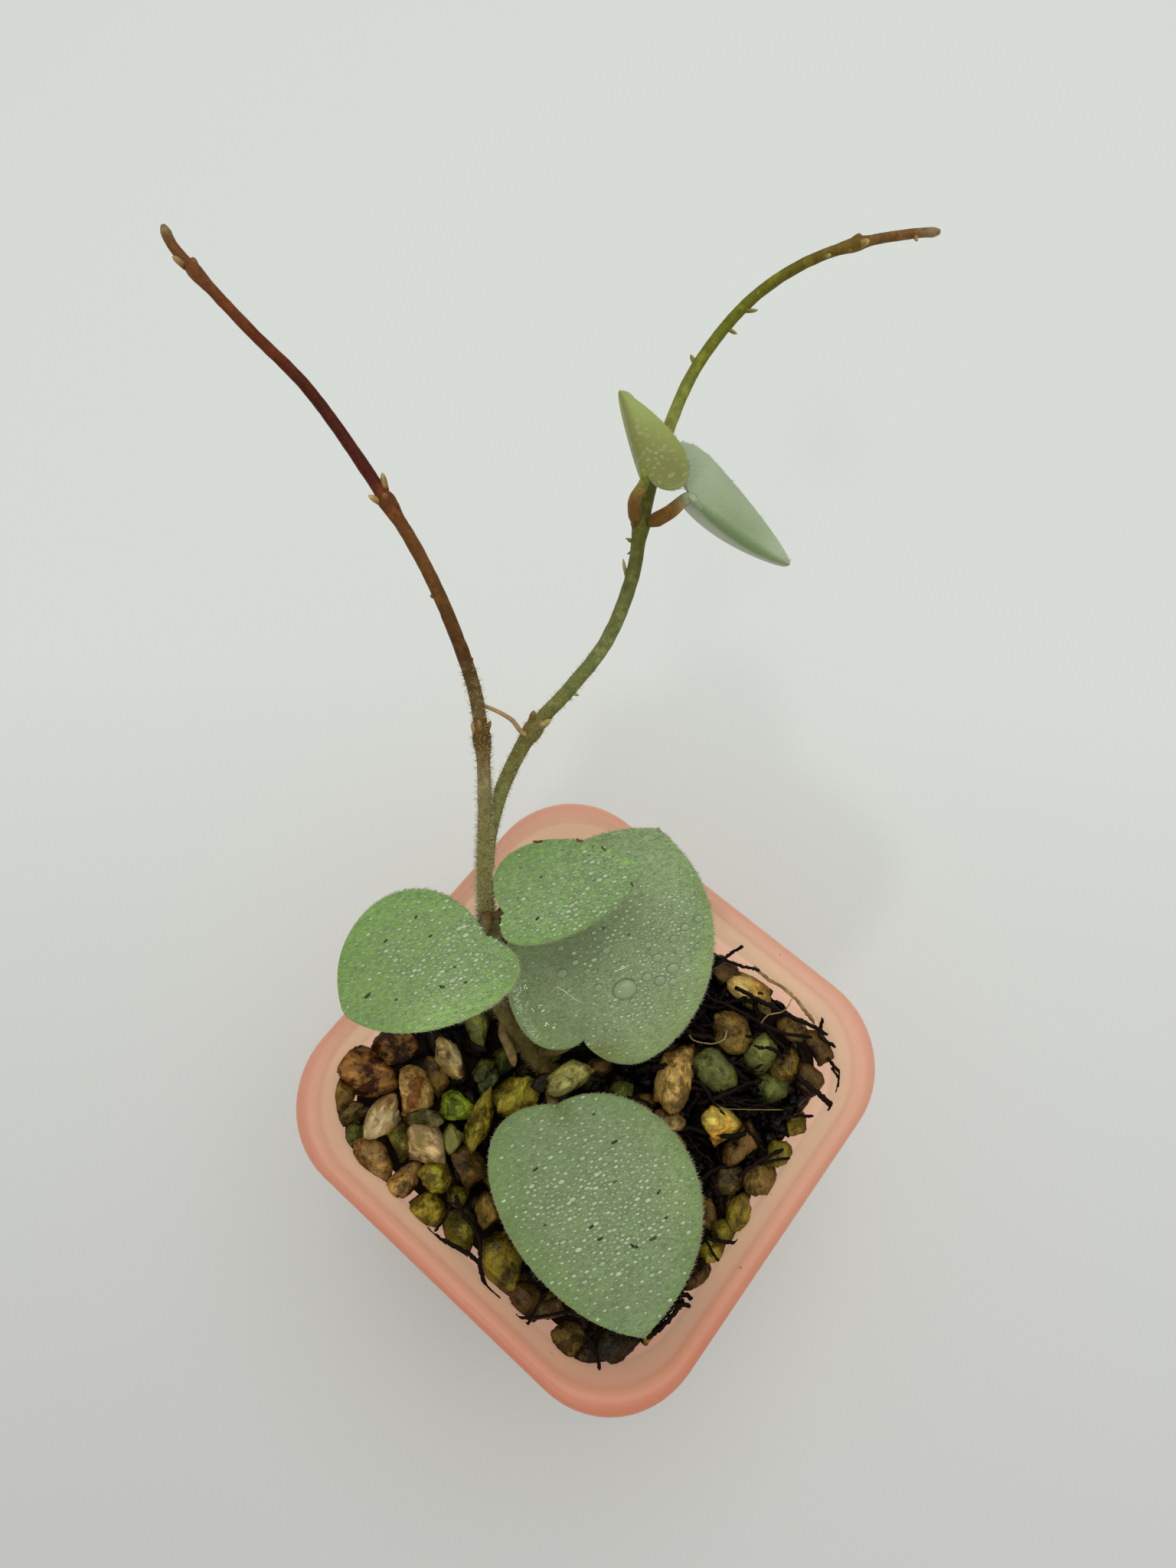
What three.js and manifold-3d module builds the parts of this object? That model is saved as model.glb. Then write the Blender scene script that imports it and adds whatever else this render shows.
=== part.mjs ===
// A young climbing hoya in a small rounded-square plastic pot filled with grit.
// Millimetres, +Z up. The origin is the middle of the pot's foot, and the two long shoots lean toward +Y.

import * as THREE from 'three';
import { ParametricGeometry } from 'three/addons/geometries/ParametricGeometry.js';
import { mergeVertices } from 'three/addons/utils/BufferGeometryUtils.js';
import Module from 'manifold-3d';

const wasm = await Module();
wasm.setup();

// Clear space kept between pieces that rest on or stand in each other
const gap = 0.3;

// Pot: sides are measured across the flats, heights from the table
const pot = {
	turn: -36.5,
	rimSide: 60,
	rimCorner: 11.8,
	rimHeight: 50,
	footSide: 43,
	footCorner: 8,
	lip: 1.2,
	wall: 1.3,
	floor: 1.6,
	edge: 0.8,
	cornerSteps: 6,
	drainRadius: 2.5,
	drainReach: 9,
	drainSides: 16,
};

// The rolled rim's section, from under its lip over its top to the inner wall: inward from the rim's
// outermost plane, and above the rim's height
const rimSection = [[0.3, -1.2], [0, -0.6], [0, 0.5], [0.35, 1.2], [1.1, 1.6], [1.9, 1.3]];

// Grit: a packed body with loose-looking grains standing out of its top
const grit = {
	height: 42.8,
	spacing: 4.9,
	grainRadius: [2.3, 3.5],
	grainLong: [0.95, 1.3],
	grainWide: [0.8, 1.0],
	grainFlat: [0.62, 0.95],
	tilt: 0.5,
	lift: [-0.6, 0.9],
	stray: 0.9,
	wallSpace: 1.6,
	seed: 41,
};

// Dead roots of an earlier planting, lying among the grains on the pot's right side
const oldRoots = {
	count: 11,
	radius: 0.45,
	length: [9, 15],
	centre: [15, 3],
	spread: [13, 13],
	height: 44.6,
	arch: 1.6,
	turn: [-0.9, 0.5],
	stray: 0.8,
	sides: 5,
	steps: 7,
	seed: 7,
};

// Vine: one stem that forks into two long shoots. Routes run from the root end to the tip.
const leftRoute = [
	[-3.6, -0.8, 31], [-4.3, -0.2, 37], [-5.6, 0.9, 41.8], [-8.1, 3.6, 45.2], [-10.6, 6.4, 48.8],
	[-12.3, 9.3, 51.4], [-12.9, 12.8, 58.4], [-13.1, 15.8, 66.4], [-13.4, 20.3, 72.0], [-13.4, 27.9, 79.4],
	[-13.8, 33.0, 83.5], [-14.7, 37.3, 86.8], [-17.4, 43.1, 91.2], [-20.2, 47.7, 94.5],
	[-23.9, 52.4, 97.7], [-31.4, 60.7, 102.8], [-36.7, 64.7, 105.5], [-42.0, 69.1, 108.0],
	[-44.2, 71.2, 109.0], [-45.1, 72.8, 109.5],
];
const rightRoute = [
	[-13.2, 21.4, 73.0], [-12.9, 24.9, 75.4], [-11.4, 29.8, 79.0], [-8.4, 34.7, 83.0], [-4.6, 38.2, 86.4],
	[-1.1, 42.1, 89.9], [1.1, 47.6, 93.3], [1.8, 52.9, 95.5], [3.6, 61.2, 97.2], [6.6, 69.0, 99.7],
	[11.6, 75.1, 102.6], [16.7, 78.3, 104.5], [22.1, 80.3, 105.5], [27.7, 81.6, 105.9], [30.3, 81.9, 106.0],
];
const vine = {
	sides: 7,
	leftSteps: 80,
	rightSteps: 60,
	leftRadius: [1.35, 1.2, 1.0, 0.78, 0.62, 0.5],
	rightRadius: [0.8, 0.8, 0.74, 0.7, 0.62, 0.55, 0.45],
	leftNodes: [0.338, 0.534, 0.742, 0.959],
	rightNodes: [0.197, 0.48, 0.906],
	swelling: 0.36,
	swellingLength: 1.3,
	spurSides: 5,
	holeClearance: 0.45,
	holeEnd: 30.7,
	holeSteps: 14,
};

// Side growths of the shoots. at: share of the shoot's length, turn: degrees round it from its right side
// over its top, lean: degrees toward the tip, length: beyond the stem's skin.
const leftSpurs = [
	{ at: 0.534, turn: 165, lean: 55, length: 0.9, radius: 0.55 },
	{ at: 0.534, turn: 20, lean: 55, length: 1.0, radius: 0.5 },
	{ at: 0.742, turn: 10, lean: 62, length: 1.4, radius: 0.6 },
	{ at: 0.74, turn: 170, lean: 40, length: 0.8, radius: 0.55 },
	{ at: 0.959, turn: 170, lean: 60, length: 1.2, radius: 0.45 },
	{ at: 0.658, turn: 180, lean: 20, length: 0.35, radius: 0.4 },
];
const rightSpurs = [
	{ at: 0.197, turn: 160, lean: 60, length: 1.2, radius: 0.6 },
	{ at: 0.199, turn: 20, lean: 60, length: 1.1, radius: 0.55 },
	{ at: 0.263, turn: 0, lean: 5, length: 0.9, radius: 0.35 },
	{ at: 0.407, turn: 180, lean: 45, length: 1.5, radius: 0.38 },
	{ at: 0.456, turn: 180, lean: 0, length: 0.9, radius: 0.4 },
	{ at: 0.453, turn: 200, lean: -35, length: 0.8, radius: 0.3 },
	{ at: 0.459, turn: 160, lean: 38, length: 0.9, radius: 0.3 },
	{ at: 0.677, turn: 180, lean: 10, length: 1.0, radius: 0.38 },
	{ at: 0.732, turn: 0, lean: -15, length: 1.3, radius: 0.35 },
	{ at: 0.756, turn: 0, lean: 25, length: 1.4, radius: 0.35 },
	{ at: 0.906, turn: 15, lean: 60, length: 0.8, radius: 0.5 },
	{ at: 0.971, turn: 0, lean: 5, length: 0.6, radius: 0.3 },
];

// A thin aerial root, grown from the right shoot's first node toward the left shoot
const aerialRoot = {
	route: [
		[-8.6, 34.0, 82.7], [-9.6, 34.0, 83.6], [-10.6, 34.8, 84.7], [-11.5, 35.3, 84.9], [-12.7, 35.9, 84.6],
	],
	radius: 0.32,
	steps: 8,
	sides: 6,
};

// Leaves. base: where the blade meets its stalk; heading, rise and roll turn the blade, whose midrib runs
// along its own +X and whose upper face looks along its own +Z. Each half of the outline is one cubic curve
// from the base notch to the tip, given by its two handles. fold raises both halves, cup lowers both margins,
// droop lowers the tip. stalk: the stalk's route from the stem.
const blade = { thickness: 0.9, margin: 0.35, acrossSteps: 5, alongSteps: 13, keel: 0.7 };
const stalk = { steps: 7, sides: 7, entry: 0.2, insert: 1.7 };
const leaves = [
	{
		name: 'leaf_front', colour: 0x8fa982,
		base: [-4.0, -3.3, 51.2], heading: -64.9, rise: 8, roll: 0, length: 27.6,
		left: [-1.2, 13.0, 20.6, 21.4], right: [-6.8, 15.9, 20.5, 13.8], fold: 0, cup: 0.8, droop: 1.4,
		stalkRadius: 0.8, stalk: [[-5.95, 0.95, 44.45], [-4.9, -1.2, 47.8]],
	},
	{
		name: 'leaf_back', colour: 0x93a98c,
		base: [-1.0, 4.4, 52.4], heading: 72.6, rise: 23, roll: 8, length: 29.1,
		left: [-11.4, 10.0, 21.9, 25.0], right: [-8.2, 12.4, 21.4, 21.0], fold: 0, cup: 0.8, droop: 1.0,
		stalkRadius: 0.8, stalk: [[-6.2, 3.3, 46.2], [-4.0, 3.6, 49.2]],
	},
	{
		name: 'leaf_left', colour: 0x86ab74,
		base: [-12.8, 14.2, 71.0], heading: -148.9, rise: -6, roll: 0, length: 18.2,
		left: [-8.7, 9.7, 13.8, 9.6], right: [0.5, 13.2, 17.1, 13.0], fold: 0, cup: 0.6, droop: 1.2,
		stalkRadius: 0.7, stalk: [[-13.0, 16.2, 69.8]],
	},
	{
		name: 'leaf_middle', colour: 0x86ab74,
		base: [-10.9, 16.5, 72.5], heading: 19.8, rise: 8.5, roll: 10, length: 16.2,
		left: [-1.7, 8.5, 10.9, 8.8], right: [-3.8, 5.7, 11.5, 6.6], fold: 0, cup: 0.8, droop: 0.8,
		stalkRadius: 0.7, stalk: [[-12.5, 17.9, 71.1]],
	},
	{
		name: 'leaf_upper_right', colour: 0x9bb090,
		base: [6.2, 53.7, 99.0], heading: -18.0, rise: -24.7, roll: -116.8, length: 12.7,
		left: [-9.0, 6.6, 6.2, 6.0], right: [-11.0, 7.1, 5.9, 6.4], fold: 55, cup: 0, droop: 0,
		stalkRadius: 0.55, stalk: [[3.2, 52.4, 96.6], [4.4, 52.7, 97.5]],
	},
	{
		name: 'leaf_upper_left', colour: 0x9cab5e,
		base: [1.8, 53.2, 102.2], heading: 104.5, rise: -6.0, roll: 130, length: 11.4,
		left: [-5.0, 1.2, -1.0, 8.4], right: [-4.0, 1.2, 0.6, 7.2], fold: 47, cup: 0, droop: 0,
		stalkRadius: 0.55, stalk: [[1.0, 52.4, 96.8], [0.5, 52.8, 98.9], [1.0, 53.2, 100.9]],
	},
];

function seeded(seed) {
	let state = seed;
	return (low, high) => {
		state = (state + 0x6d2b79f5) | 0;
		let t = Math.imul(state ^ (state >>> 15), 1 | state);
		t = (t + Math.imul(t ^ (t >>> 7), 61 | t)) ^ t;
		return low + (high - low) * (((t ^ (t >>> 14)) >>> 0) / 4294967296);
	};
}

function mix(list, share) {
	const place = share * (list.length - 1);
	const index = Math.min(Math.floor(place), list.length - 2);
	return THREE.MathUtils.lerp(list[index], list[index + 1], place - index);
}

function vectors(points) {
	return points.map((point) => new THREE.Vector3(...point));
}

// Turns a closed geometry into a solid that can be joined and cut
function solid(geometry) {
	const bare = new THREE.BufferGeometry();
	bare.setAttribute('position', geometry.getAttribute('position'));
	bare.setIndex(geometry.index);
	const merged = mergeVertices(bare, 1e-4);
	const corners = merged.index.array;
	const kept = [];
	for (let i = 0; i < corners.length; i += 3) {
		const [a, b, c] = corners.slice(i, i + 3);
		if (a !== b && b !== c && c !== a) {
			kept.push(a, b, c);
		}
	}
	return new wasm.Manifold(new wasm.Mesh({
		numProp: 3,
		vertProperties: new Float32Array(merged.getAttribute('position').array),
		triVerts: Uint32Array.from(kept),
	}));
}

function surface(body) {
	const { vertProperties, triVerts } = body.getMesh();
	const geometry = new THREE.BufferGeometry();
	geometry.setAttribute('position', new THREE.BufferAttribute(vertProperties, 3));
	geometry.setIndex(new THREE.BufferAttribute(triVerts, 1));
	geometry.computeVertexNormals();
	return geometry;
}

function join(bodies) {
	return bodies.reduce((whole, body) => whole.add(body));
}

// The largest connected skin: sealed hollows are filled and loose scraps dropped
function outerBody(body) {
	return body.decompose().sort((one, other) => other.volume() - one.volume())[0];
}

function piece(name, body, colour, roughness) {
	const material = new THREE.MeshStandardMaterial({ color: colour, roughness, metalness: 0 });
	const mesh = new THREE.Mesh(surface(body), material);
	mesh.name = name;
	return mesh;
}

// Closed body made of rounded-square rings; a ring of no width closes an end
function ringed(rings) {
	const perCorner = pot.cornerSteps + 1;
	const around = 4 * perCorner;
	const span = (pot.rimSide - pot.footSide) / 2;
	const shape = (u, v, target) => {
		const [half, z] = rings[Math.round(v * (rings.length - 1))];
		const step = Math.round(u * around) % around;
		const corner = Math.floor(step / perCorner);
		const angle = (corner + (step % perCorner) / pot.cornerSteps) * Math.PI / 2;
		const share = Math.max(0, (half - pot.footSide / 2) / span);
		const radius = Math.min(half, THREE.MathUtils.lerp(pot.footCorner, pot.rimCorner, share));
		const reach = half - radius;
		const signX = corner === 0 || corner === 3 ? 1 : -1;
		const signY = corner < 2 ? 1 : -1;
		target.set(signX * reach + radius * Math.cos(angle), signY * reach + radius * Math.sin(angle), z);
	};
	return new ParametricGeometry(shape, around, rings.length - 1);
}

// Half the pot's width at a height, at its outer and its inner face
function outerHalf(z) {
	return THREE.MathUtils.lerp(pot.footSide / 2, pot.rimSide / 2 - pot.lip, z / pot.rimHeight);
}

function innerHalf(z) {
	return outerHalf(z) - pot.wall;
}

function makePot() {
	const underLip = pot.rimHeight - 1.25 * pot.lip;
	const shell = solid(ringed([
		[0, 0],
		[outerHalf(0) - pot.edge, 0],
		[outerHalf(0), pot.edge],
		[outerHalf(underLip), underLip],
		...rimSection.map(([inward, above]) => [pot.rimSide / 2 - inward, pot.rimHeight + above]),
		[innerHalf(pot.rimHeight), pot.rimHeight],
		[innerHalf(pot.floor), pot.floor + pot.edge],
		[innerHalf(pot.floor) - pot.edge, pot.floor],
		[0, pot.floor],
	]));
	const drill = new THREE.CylinderGeometry(pot.drainRadius, pot.drainRadius, 4 * pot.floor, pot.drainSides);
	drill.rotateX(Math.PI / 2);
	const holes = [45, 135, 225, 315].map((degrees) => {
		const angle = THREE.MathUtils.degToRad(degrees);
		const reach = pot.drainReach * Math.SQRT2;
		return solid(drill.clone().translate(reach * Math.cos(angle), reach * Math.sin(angle), 0));
	});
	const mesh = piece('pot', shell.subtract(join(holes)), 0xe0a896, 0.45);
	mesh.rotation.z = THREE.MathUtils.degToRad(pot.turn);
	return mesh;
}

// Tube along a smooth route, with a radius given for each share of its length
function tube(route, radiusAt, sides, steps) {
	const curve = new THREE.CatmullRomCurve3(route, false, 'centripetal');
	const corners = [];
	for (let i = 0; i < sides; i += 1) {
		const angle = i / sides * 2 * Math.PI;
		corners.push(new THREE.Vector2(Math.cos(angle), Math.sin(angle)));
	}
	const section = new THREE.Shape(corners);
	const geometry = new THREE.ExtrudeGeometry(section, { steps, extrudePath: curve });
	const centres = curve.getSpacedPoints(steps);
	const positions = geometry.getAttribute('position');
	const point = new THREE.Vector3();
	for (let i = 0; i < positions.count; i += 1) {
		point.fromBufferAttribute(positions, i);
		let nearest = 0;
		centres.forEach((centre, index) => {
			const closer = Math.abs(centre.distanceTo(point) - 1) < Math.abs(centres[nearest].distanceTo(point) - 1);
			nearest = closer ? index : nearest;
		});
		point.sub(centres[nearest]).multiplyScalar(radiusAt(nearest / steps)).add(centres[nearest]);
		positions.setXYZ(i, point.x, point.y, point.z);
	}
	return geometry;
}

// Stem thickness along a shoot, swollen at its nodes
function shootRadius(radii, nodes, length) {
	return (share) => nodes.reduce((radius, node) => {
		const away = (share - node) * length / vine.swellingLength;
		return radius * (1 + vine.swelling * Math.exp(-away * away));
	}, mix(radii, share));
}

// Small pointed growth whose root is sunk to the middle of the stem
function spur(curve, radiusAt, { at, turn, lean, length, radius }) {
	const centre = curve.getPointAt(at);
	const along = curve.getTangentAt(at);
	const right = new THREE.Vector3().crossVectors(along, new THREE.Vector3(0, 0, 1)).normalize();
	const over = new THREE.Vector3().crossVectors(right, along);
	const angle = THREE.MathUtils.degToRad(turn);
	const tilt = THREE.MathUtils.degToRad(lean);
	const out = right.multiplyScalar(Math.cos(angle)).addScaledVector(over, Math.sin(angle));
	const direction = out.multiplyScalar(Math.cos(tilt)).addScaledVector(along, Math.sin(tilt));
	const height = radiusAt(at) / Math.cos(tilt) + length;
	const cone = new THREE.ConeGeometry(radius, height, vine.spurSides);
	cone.translate(0, height / 2, 0);
	cone.applyQuaternion(new THREE.Quaternion().setFromUnitVectors(new THREE.Vector3(0, 1, 0), direction));
	cone.translate(centre.x, centre.y, centre.z);
	return solid(cone);
}

function makeShoot(route, radii, nodes, steps, spurs) {
	const points = vectors(route);
	const curve = new THREE.CatmullRomCurve3(points, false, 'centripetal');
	const radiusAt = shootRadius(radii, nodes, curve.getLength());
	const axis = solid(tube(points, radiusAt, vine.sides, steps));
	return join([axis, ...spurs.map((item) => spur(curve, radiusAt, item))]);
}

function makeVine() {
	const left = makeShoot(leftRoute, vine.leftRadius, vine.leftNodes, vine.leftSteps, leftSpurs);
	const right = makeShoot(rightRoute, vine.rightRadius, vine.rightNodes, vine.rightSteps, rightSpurs);
	const rootRadius = () => aerialRoot.radius;
	const root = solid(tube(vectors(aerialRoot.route), rootRadius, aerialRoot.sides, aerialRoot.steps));
	return piece('vine_stem', join([left, right, root]), 0x7d6a45, 0.75);
}

function curvePoint(length, [shoulderX, shoulderY, flankX, flankY], t) {
	const near = 3 * (1 - t) * (1 - t) * t;
	const far = 3 * (1 - t) * t * t;
	return [near * shoulderX + far * flankX + t * t * t * length, near * shoulderY + far * flankY];
}

// Middle layer of a blade, before it is turned into place
function bladePoint(leaf, x, y) {
	const fold = THREE.MathUtils.degToRad(leaf.fold);
	const raise = Math.hypot(y, blade.keel) - blade.keel;
	const along = Math.max(x, 0) / leaf.length;
	const across = 2 * y / leaf.length;
	const z = raise * Math.sin(fold) - leaf.droop * along * along - leaf.cup * across * across;
	return new THREE.Vector3(x, y * Math.cos(fold), z);
}

function bladeNormal(leaf, x, y) {
	const step = 0.01;
	const centre = bladePoint(leaf, x, y);
	const alongX = bladePoint(leaf, x + step, y).sub(centre);
	const alongY = bladePoint(leaf, x, y + step).sub(centre);
	return alongX.cross(alongY).normalize();
}

function makeBlade(leaf) {
	const perFace = 2 * blade.acrossSteps;
	const around = 2 * perFace + 2;
	const shape = (u, v, target) => {
		const step = Math.round(u * around) % around;
		const top = step <= perFace;
		const across = top ? 1 - step / blade.acrossSteps : (step - perFace - 1) / blade.acrossSteps - 1;
		const [edgeX, edgeY] = curvePoint(leaf.length, across >= 0 ? leaf.left : leaf.right, v);
		const share = Math.abs(across);
		const x = THREE.MathUtils.lerp(leaf.length * v, edgeX, share);
		const y = across * edgeY;
		const thickness = blade.thickness * (1 - blade.margin * share ** 4);
		const offset = bladeNormal(leaf, x, y).multiplyScalar(top ? thickness / 2 : -thickness / 2);
		target.copy(bladePoint(leaf, x, y)).add(offset);
	};
	return solid(new ParametricGeometry(shape, around, blade.alongSteps));
}

// The leaf's own place: its base notch is the origin and its midrib runs along +X
function leafPlace(leaf) {
	const place = new THREE.Group();
	place.position.set(...leaf.base);
	const [heading, rise, roll] = [leaf.heading, leaf.rise, leaf.roll].map(THREE.MathUtils.degToRad);
	place.rotation.set(roll, -rise, heading, 'ZYX');
	place.updateMatrixWorld();
	return place;
}

// Route of a leaf's stalk in the leaf's own place, from the stem into the blade
function stalkRoute(leaf, place) {
	const route = vectors(leaf.stalk).map((point) => place.worldToLocal(point));
	route.push(new THREE.Vector3(stalk.entry, 0, -blade.thickness / 8));
	route.push(new THREE.Vector3(stalk.insert, 0, 0));
	return route;
}

function makeLeaf(leaf) {
	const place = leafPlace(leaf);
	const stalkRadius = () => leaf.stalkRadius;
	const stalkBody = solid(tube(stalkRoute(leaf, place), stalkRadius, stalk.sides, stalk.steps));
	place.add(piece(leaf.name, join([makeBlade(leaf), stalkBody]), leaf.colour, 0.6));
	return place;
}

// The space inside the pot, kept clear of its wall
function cavity(top) {
	const bottom = pot.floor + gap;
	return solid(ringed([
		[0, bottom],
		[innerHalf(pot.floor) - gap - pot.edge, bottom],
		[innerHalf(bottom + pot.edge) - gap, bottom + pot.edge],
		[innerHalf(top) - gap, top],
		[0, top],
	]).rotateZ(THREE.MathUtils.degToRad(pot.turn)));
}

function grain(draw, x, y) {
	const stone = new THREE.IcosahedronGeometry(1, 0);
	const size = draw(...grit.grainRadius);
	const [long, wide, flat] = [grit.grainLong, grit.grainWide, grit.grainFlat].map((range) => draw(...range));
	stone.scale(size * long, size * wide, size * flat);
	stone.rotateX(draw(-grit.tilt, grit.tilt));
	stone.rotateY(draw(-grit.tilt, grit.tilt));
	stone.rotateZ(draw(0, Math.PI));
	stone.translate(x, y, grit.height + draw(...grit.lift));
	return solid(stone);
}

function makeGrains() {
	const draw = seeded(grit.seed);
	const reach = pot.rimSide / 2;
	const rowStep = grit.spacing * Math.sqrt(3) / 2;
	const turn = THREE.MathUtils.degToRad(pot.turn);
	const half = innerHalf(grit.height) - grit.wallSpace;
	const grains = [];
	let row = 0;
	for (let y = -reach; y <= reach; y += rowStep) {
		row += 1;
		for (let x = -reach + (row % 2) * grit.spacing / 2; x <= reach; x += grit.spacing) {
			const localX = x + draw(-grit.stray, grit.stray);
			const localY = y + draw(-grit.stray, grit.stray);
			const inCorner = Math.abs(localX) + Math.abs(localY) > 2 * half - 0.45 * pot.rimCorner;
			if (Math.max(Math.abs(localX), Math.abs(localY)) < half && !inCorner) {
				const across = localX * Math.cos(turn) - localY * Math.sin(turn);
				const away = localX * Math.sin(turn) + localY * Math.cos(turn);
				grains.push(grain(draw, across, away));
			}
		}
	}
	return join(grains);
}

function makeOldRoots() {
	const draw = seeded(oldRoots.seed);
	const rods = [];
	for (let i = 0; i < oldRoots.count; i += 1) {
		const x = oldRoots.centre[0] + draw(-1, 1) * oldRoots.spread[0];
		const y = oldRoots.centre[1] + draw(-1, 1) * oldRoots.spread[1];
		const angle = draw(...oldRoots.turn);
		const reach = draw(...oldRoots.length) / 2;
		const route = [-1, -0.4, 0.4, 1].map((share) => new THREE.Vector3(
			x + share * reach * Math.cos(angle),
			y + share * reach * Math.sin(angle) + draw(-oldRoots.stray, oldRoots.stray),
			oldRoots.height + (Math.abs(share) < 1 ? oldRoots.arch : -oldRoots.arch),
		));
		rods.push(solid(tube(route, () => oldRoots.radius, oldRoots.sides, oldRoots.steps)));
	}
	return join(rods);
}

// The stem stands in a plain hole, and the two lowest leaf stalks pass clear of the grains
function makeClearance() {
	const lower = vectors(leftRoute.slice(0, 5));
	lower[0].z = vine.holeEnd;
	const holeRadius = () => vine.leftRadius[0] + vine.holeClearance;
	const hole = solid(tube(lower, holeRadius, vine.sides, vine.holeSteps));
	const stalks = leaves.slice(0, 2).map((leaf) => {
		const place = leafPlace(leaf);
		const route = stalkRoute(leaf, place).map((point) => place.localToWorld(point));
		route[0].addScaledVector(route[1].clone().sub(route[0]).normalize(), -2 * vine.holeClearance);
		return solid(tube(route, () => leaf.stalkRadius + vine.holeClearance, stalk.sides, stalk.steps));
	});
	return join([hole, ...stalks]);
}

function makeGrit() {
	const packed = cavity(grit.height);
	const standing = join([makeGrains(), makeOldRoots()]).intersect(cavity(pot.rimHeight));
	const bed = outerBody(packed.add(standing).subtract(makeClearance()));
	return piece('grit_bed', bed, 0x6f6438, 0.9);
}

const plant = new THREE.Group();
plant.add(makePot(), makeGrit(), makeVine(), ...leaves.map(makeLeaf));

export default plant;
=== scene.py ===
import math
import random

import bpy
import numpy as np
from mathutils import Matrix, Vector, noise


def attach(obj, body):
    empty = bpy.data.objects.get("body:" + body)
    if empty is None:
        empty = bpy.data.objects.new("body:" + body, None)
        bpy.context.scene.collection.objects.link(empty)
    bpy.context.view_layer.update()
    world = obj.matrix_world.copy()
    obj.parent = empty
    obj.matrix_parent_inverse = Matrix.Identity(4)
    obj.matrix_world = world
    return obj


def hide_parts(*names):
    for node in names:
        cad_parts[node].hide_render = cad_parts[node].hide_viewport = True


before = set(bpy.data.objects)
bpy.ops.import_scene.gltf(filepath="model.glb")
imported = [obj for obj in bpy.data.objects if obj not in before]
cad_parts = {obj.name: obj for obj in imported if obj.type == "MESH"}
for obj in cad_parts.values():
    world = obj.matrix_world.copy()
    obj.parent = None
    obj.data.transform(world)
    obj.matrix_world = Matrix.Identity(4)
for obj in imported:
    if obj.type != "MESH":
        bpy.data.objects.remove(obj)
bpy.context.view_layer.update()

mm = 0.001
bpy.ops.object.select_all(action="DESELECT")


# Collects many small shapes into one mesh; a field holds a value for each point, or one for a whole shape
class Gathered:
    def __init__(self):
        self.points, self.faces, self.fields, self.count = [], [], {}, 0

    def add(self, points, faces, **fields):
        self.points.append(points)
        self.faces += [tuple(corner + self.count for corner in face) for face in faces]
        self.count += len(points)
        for name, value in fields.items():
            value = np.asarray(value, float)
            if value.shape in ((), (4,)):
                value = np.broadcast_to(value, (len(points), *value.shape))
            self.fields.setdefault(name, []).append(value)

    def piece(self, name):
        fields = {key: np.concatenate(values) for key, values in self.fields.items()}
        return meshPiece(name, np.concatenate(self.points), self.faces, fields)


def addField(mesh, name, values):
    values = np.asarray(values, np.float32)
    kinds = {1: ("FLOAT", "value"), 3: ("FLOAT_VECTOR", "vector"), 4: ("FLOAT_COLOR", "color")}
    kind, member = kinds[1 if values.ndim == 1 else values.shape[1]]
    mesh.attributes.new(name, kind, "POINT").data.foreach_set(member, values.ravel())


def meshPiece(name, points, faces, fields):
    mesh = bpy.data.meshes.new(name)
    mesh.from_pydata((points * mm).tolist(), [], faces)
    for key, values in fields.items():
        addField(mesh, key, values)
    piece = bpy.data.objects.new(name, mesh)
    bpy.context.scene.collection.objects.link(piece)
    return piece


def chooseOnly(piece):
    bpy.ops.object.select_all(action="DESELECT")
    piece.select_set(True)
    bpy.context.view_layer.objects.active = piece


def mergedAndOutward(piece, weld):
    chooseOnly(piece)
    bpy.ops.object.mode_set(mode="EDIT")
    bpy.ops.mesh.select_all(action="SELECT")
    bpy.ops.mesh.remove_doubles(threshold=weld * mm)
    bpy.ops.mesh.normals_make_consistent(inside=False)
    bpy.ops.object.mode_set(mode="OBJECT")


def finishPiece(piece, material, node):
    piece.data.materials.clear()
    piece.data.materials.append(material)
    piece.data.shade_smooth()
    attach(piece, "root")
    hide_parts(node)


def applied(piece, kind, **settings):
    chooseOnly(piece)
    modifier = piece.modifiers.new(kind.title(), kind)
    for key, value in settings.items():
        setattr(modifier, key, value)
    bpy.ops.object.modifier_apply(modifier=modifier.name)


def newMaterial(name):
    material = bpy.data.materials.new(name)
    material.use_nodes = True
    return material, material.node_tree, material.node_tree.nodes["Principled BSDF"]


# A socket is linked to another one, or holds a plain value
def wire(tree, socket, value):
    if isinstance(value, bpy.types.NodeSocket):
        tree.links.new(value, socket)
    else:
        socket.default_value = value


def setSockets(tree, node, inputs):
    for key, value in inputs.items():
        wire(tree, node.inputs[key], value)


def addNode(tree, kind, inputs, **settings):
    node = tree.nodes.new(kind)
    for key, value in settings.items():
        setattr(node, key, value)
    setSockets(tree, node, inputs)
    return node


# Each helper from here on returns the socket that carries its result
def mixColour(tree, share, one, other, blend="MIX"):
    node = addNode(tree, "ShaderNodeMix", {0: share}, data_type="RGBA", blend_type=blend, clamp_factor=True)
    for index, value in ((6, one), (7, other)):
        wire(tree, node.inputs[index], value if isinstance(value, bpy.types.NodeSocket) else (*value, 1.0))
    return node.outputs[2]


def attribute(tree, name, output="Fac"):
    return addNode(tree, "ShaderNodeAttribute", {}, attribute_name=name).outputs[output]


def objectPlace(tree):
    return tree.nodes.new("ShaderNodeTexCoord").outputs["Object"]


def axisOf(tree, place, axis):
    return addNode(tree, "ShaderNodeSeparateXYZ", {"Vector": place}).outputs[axis]


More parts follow.
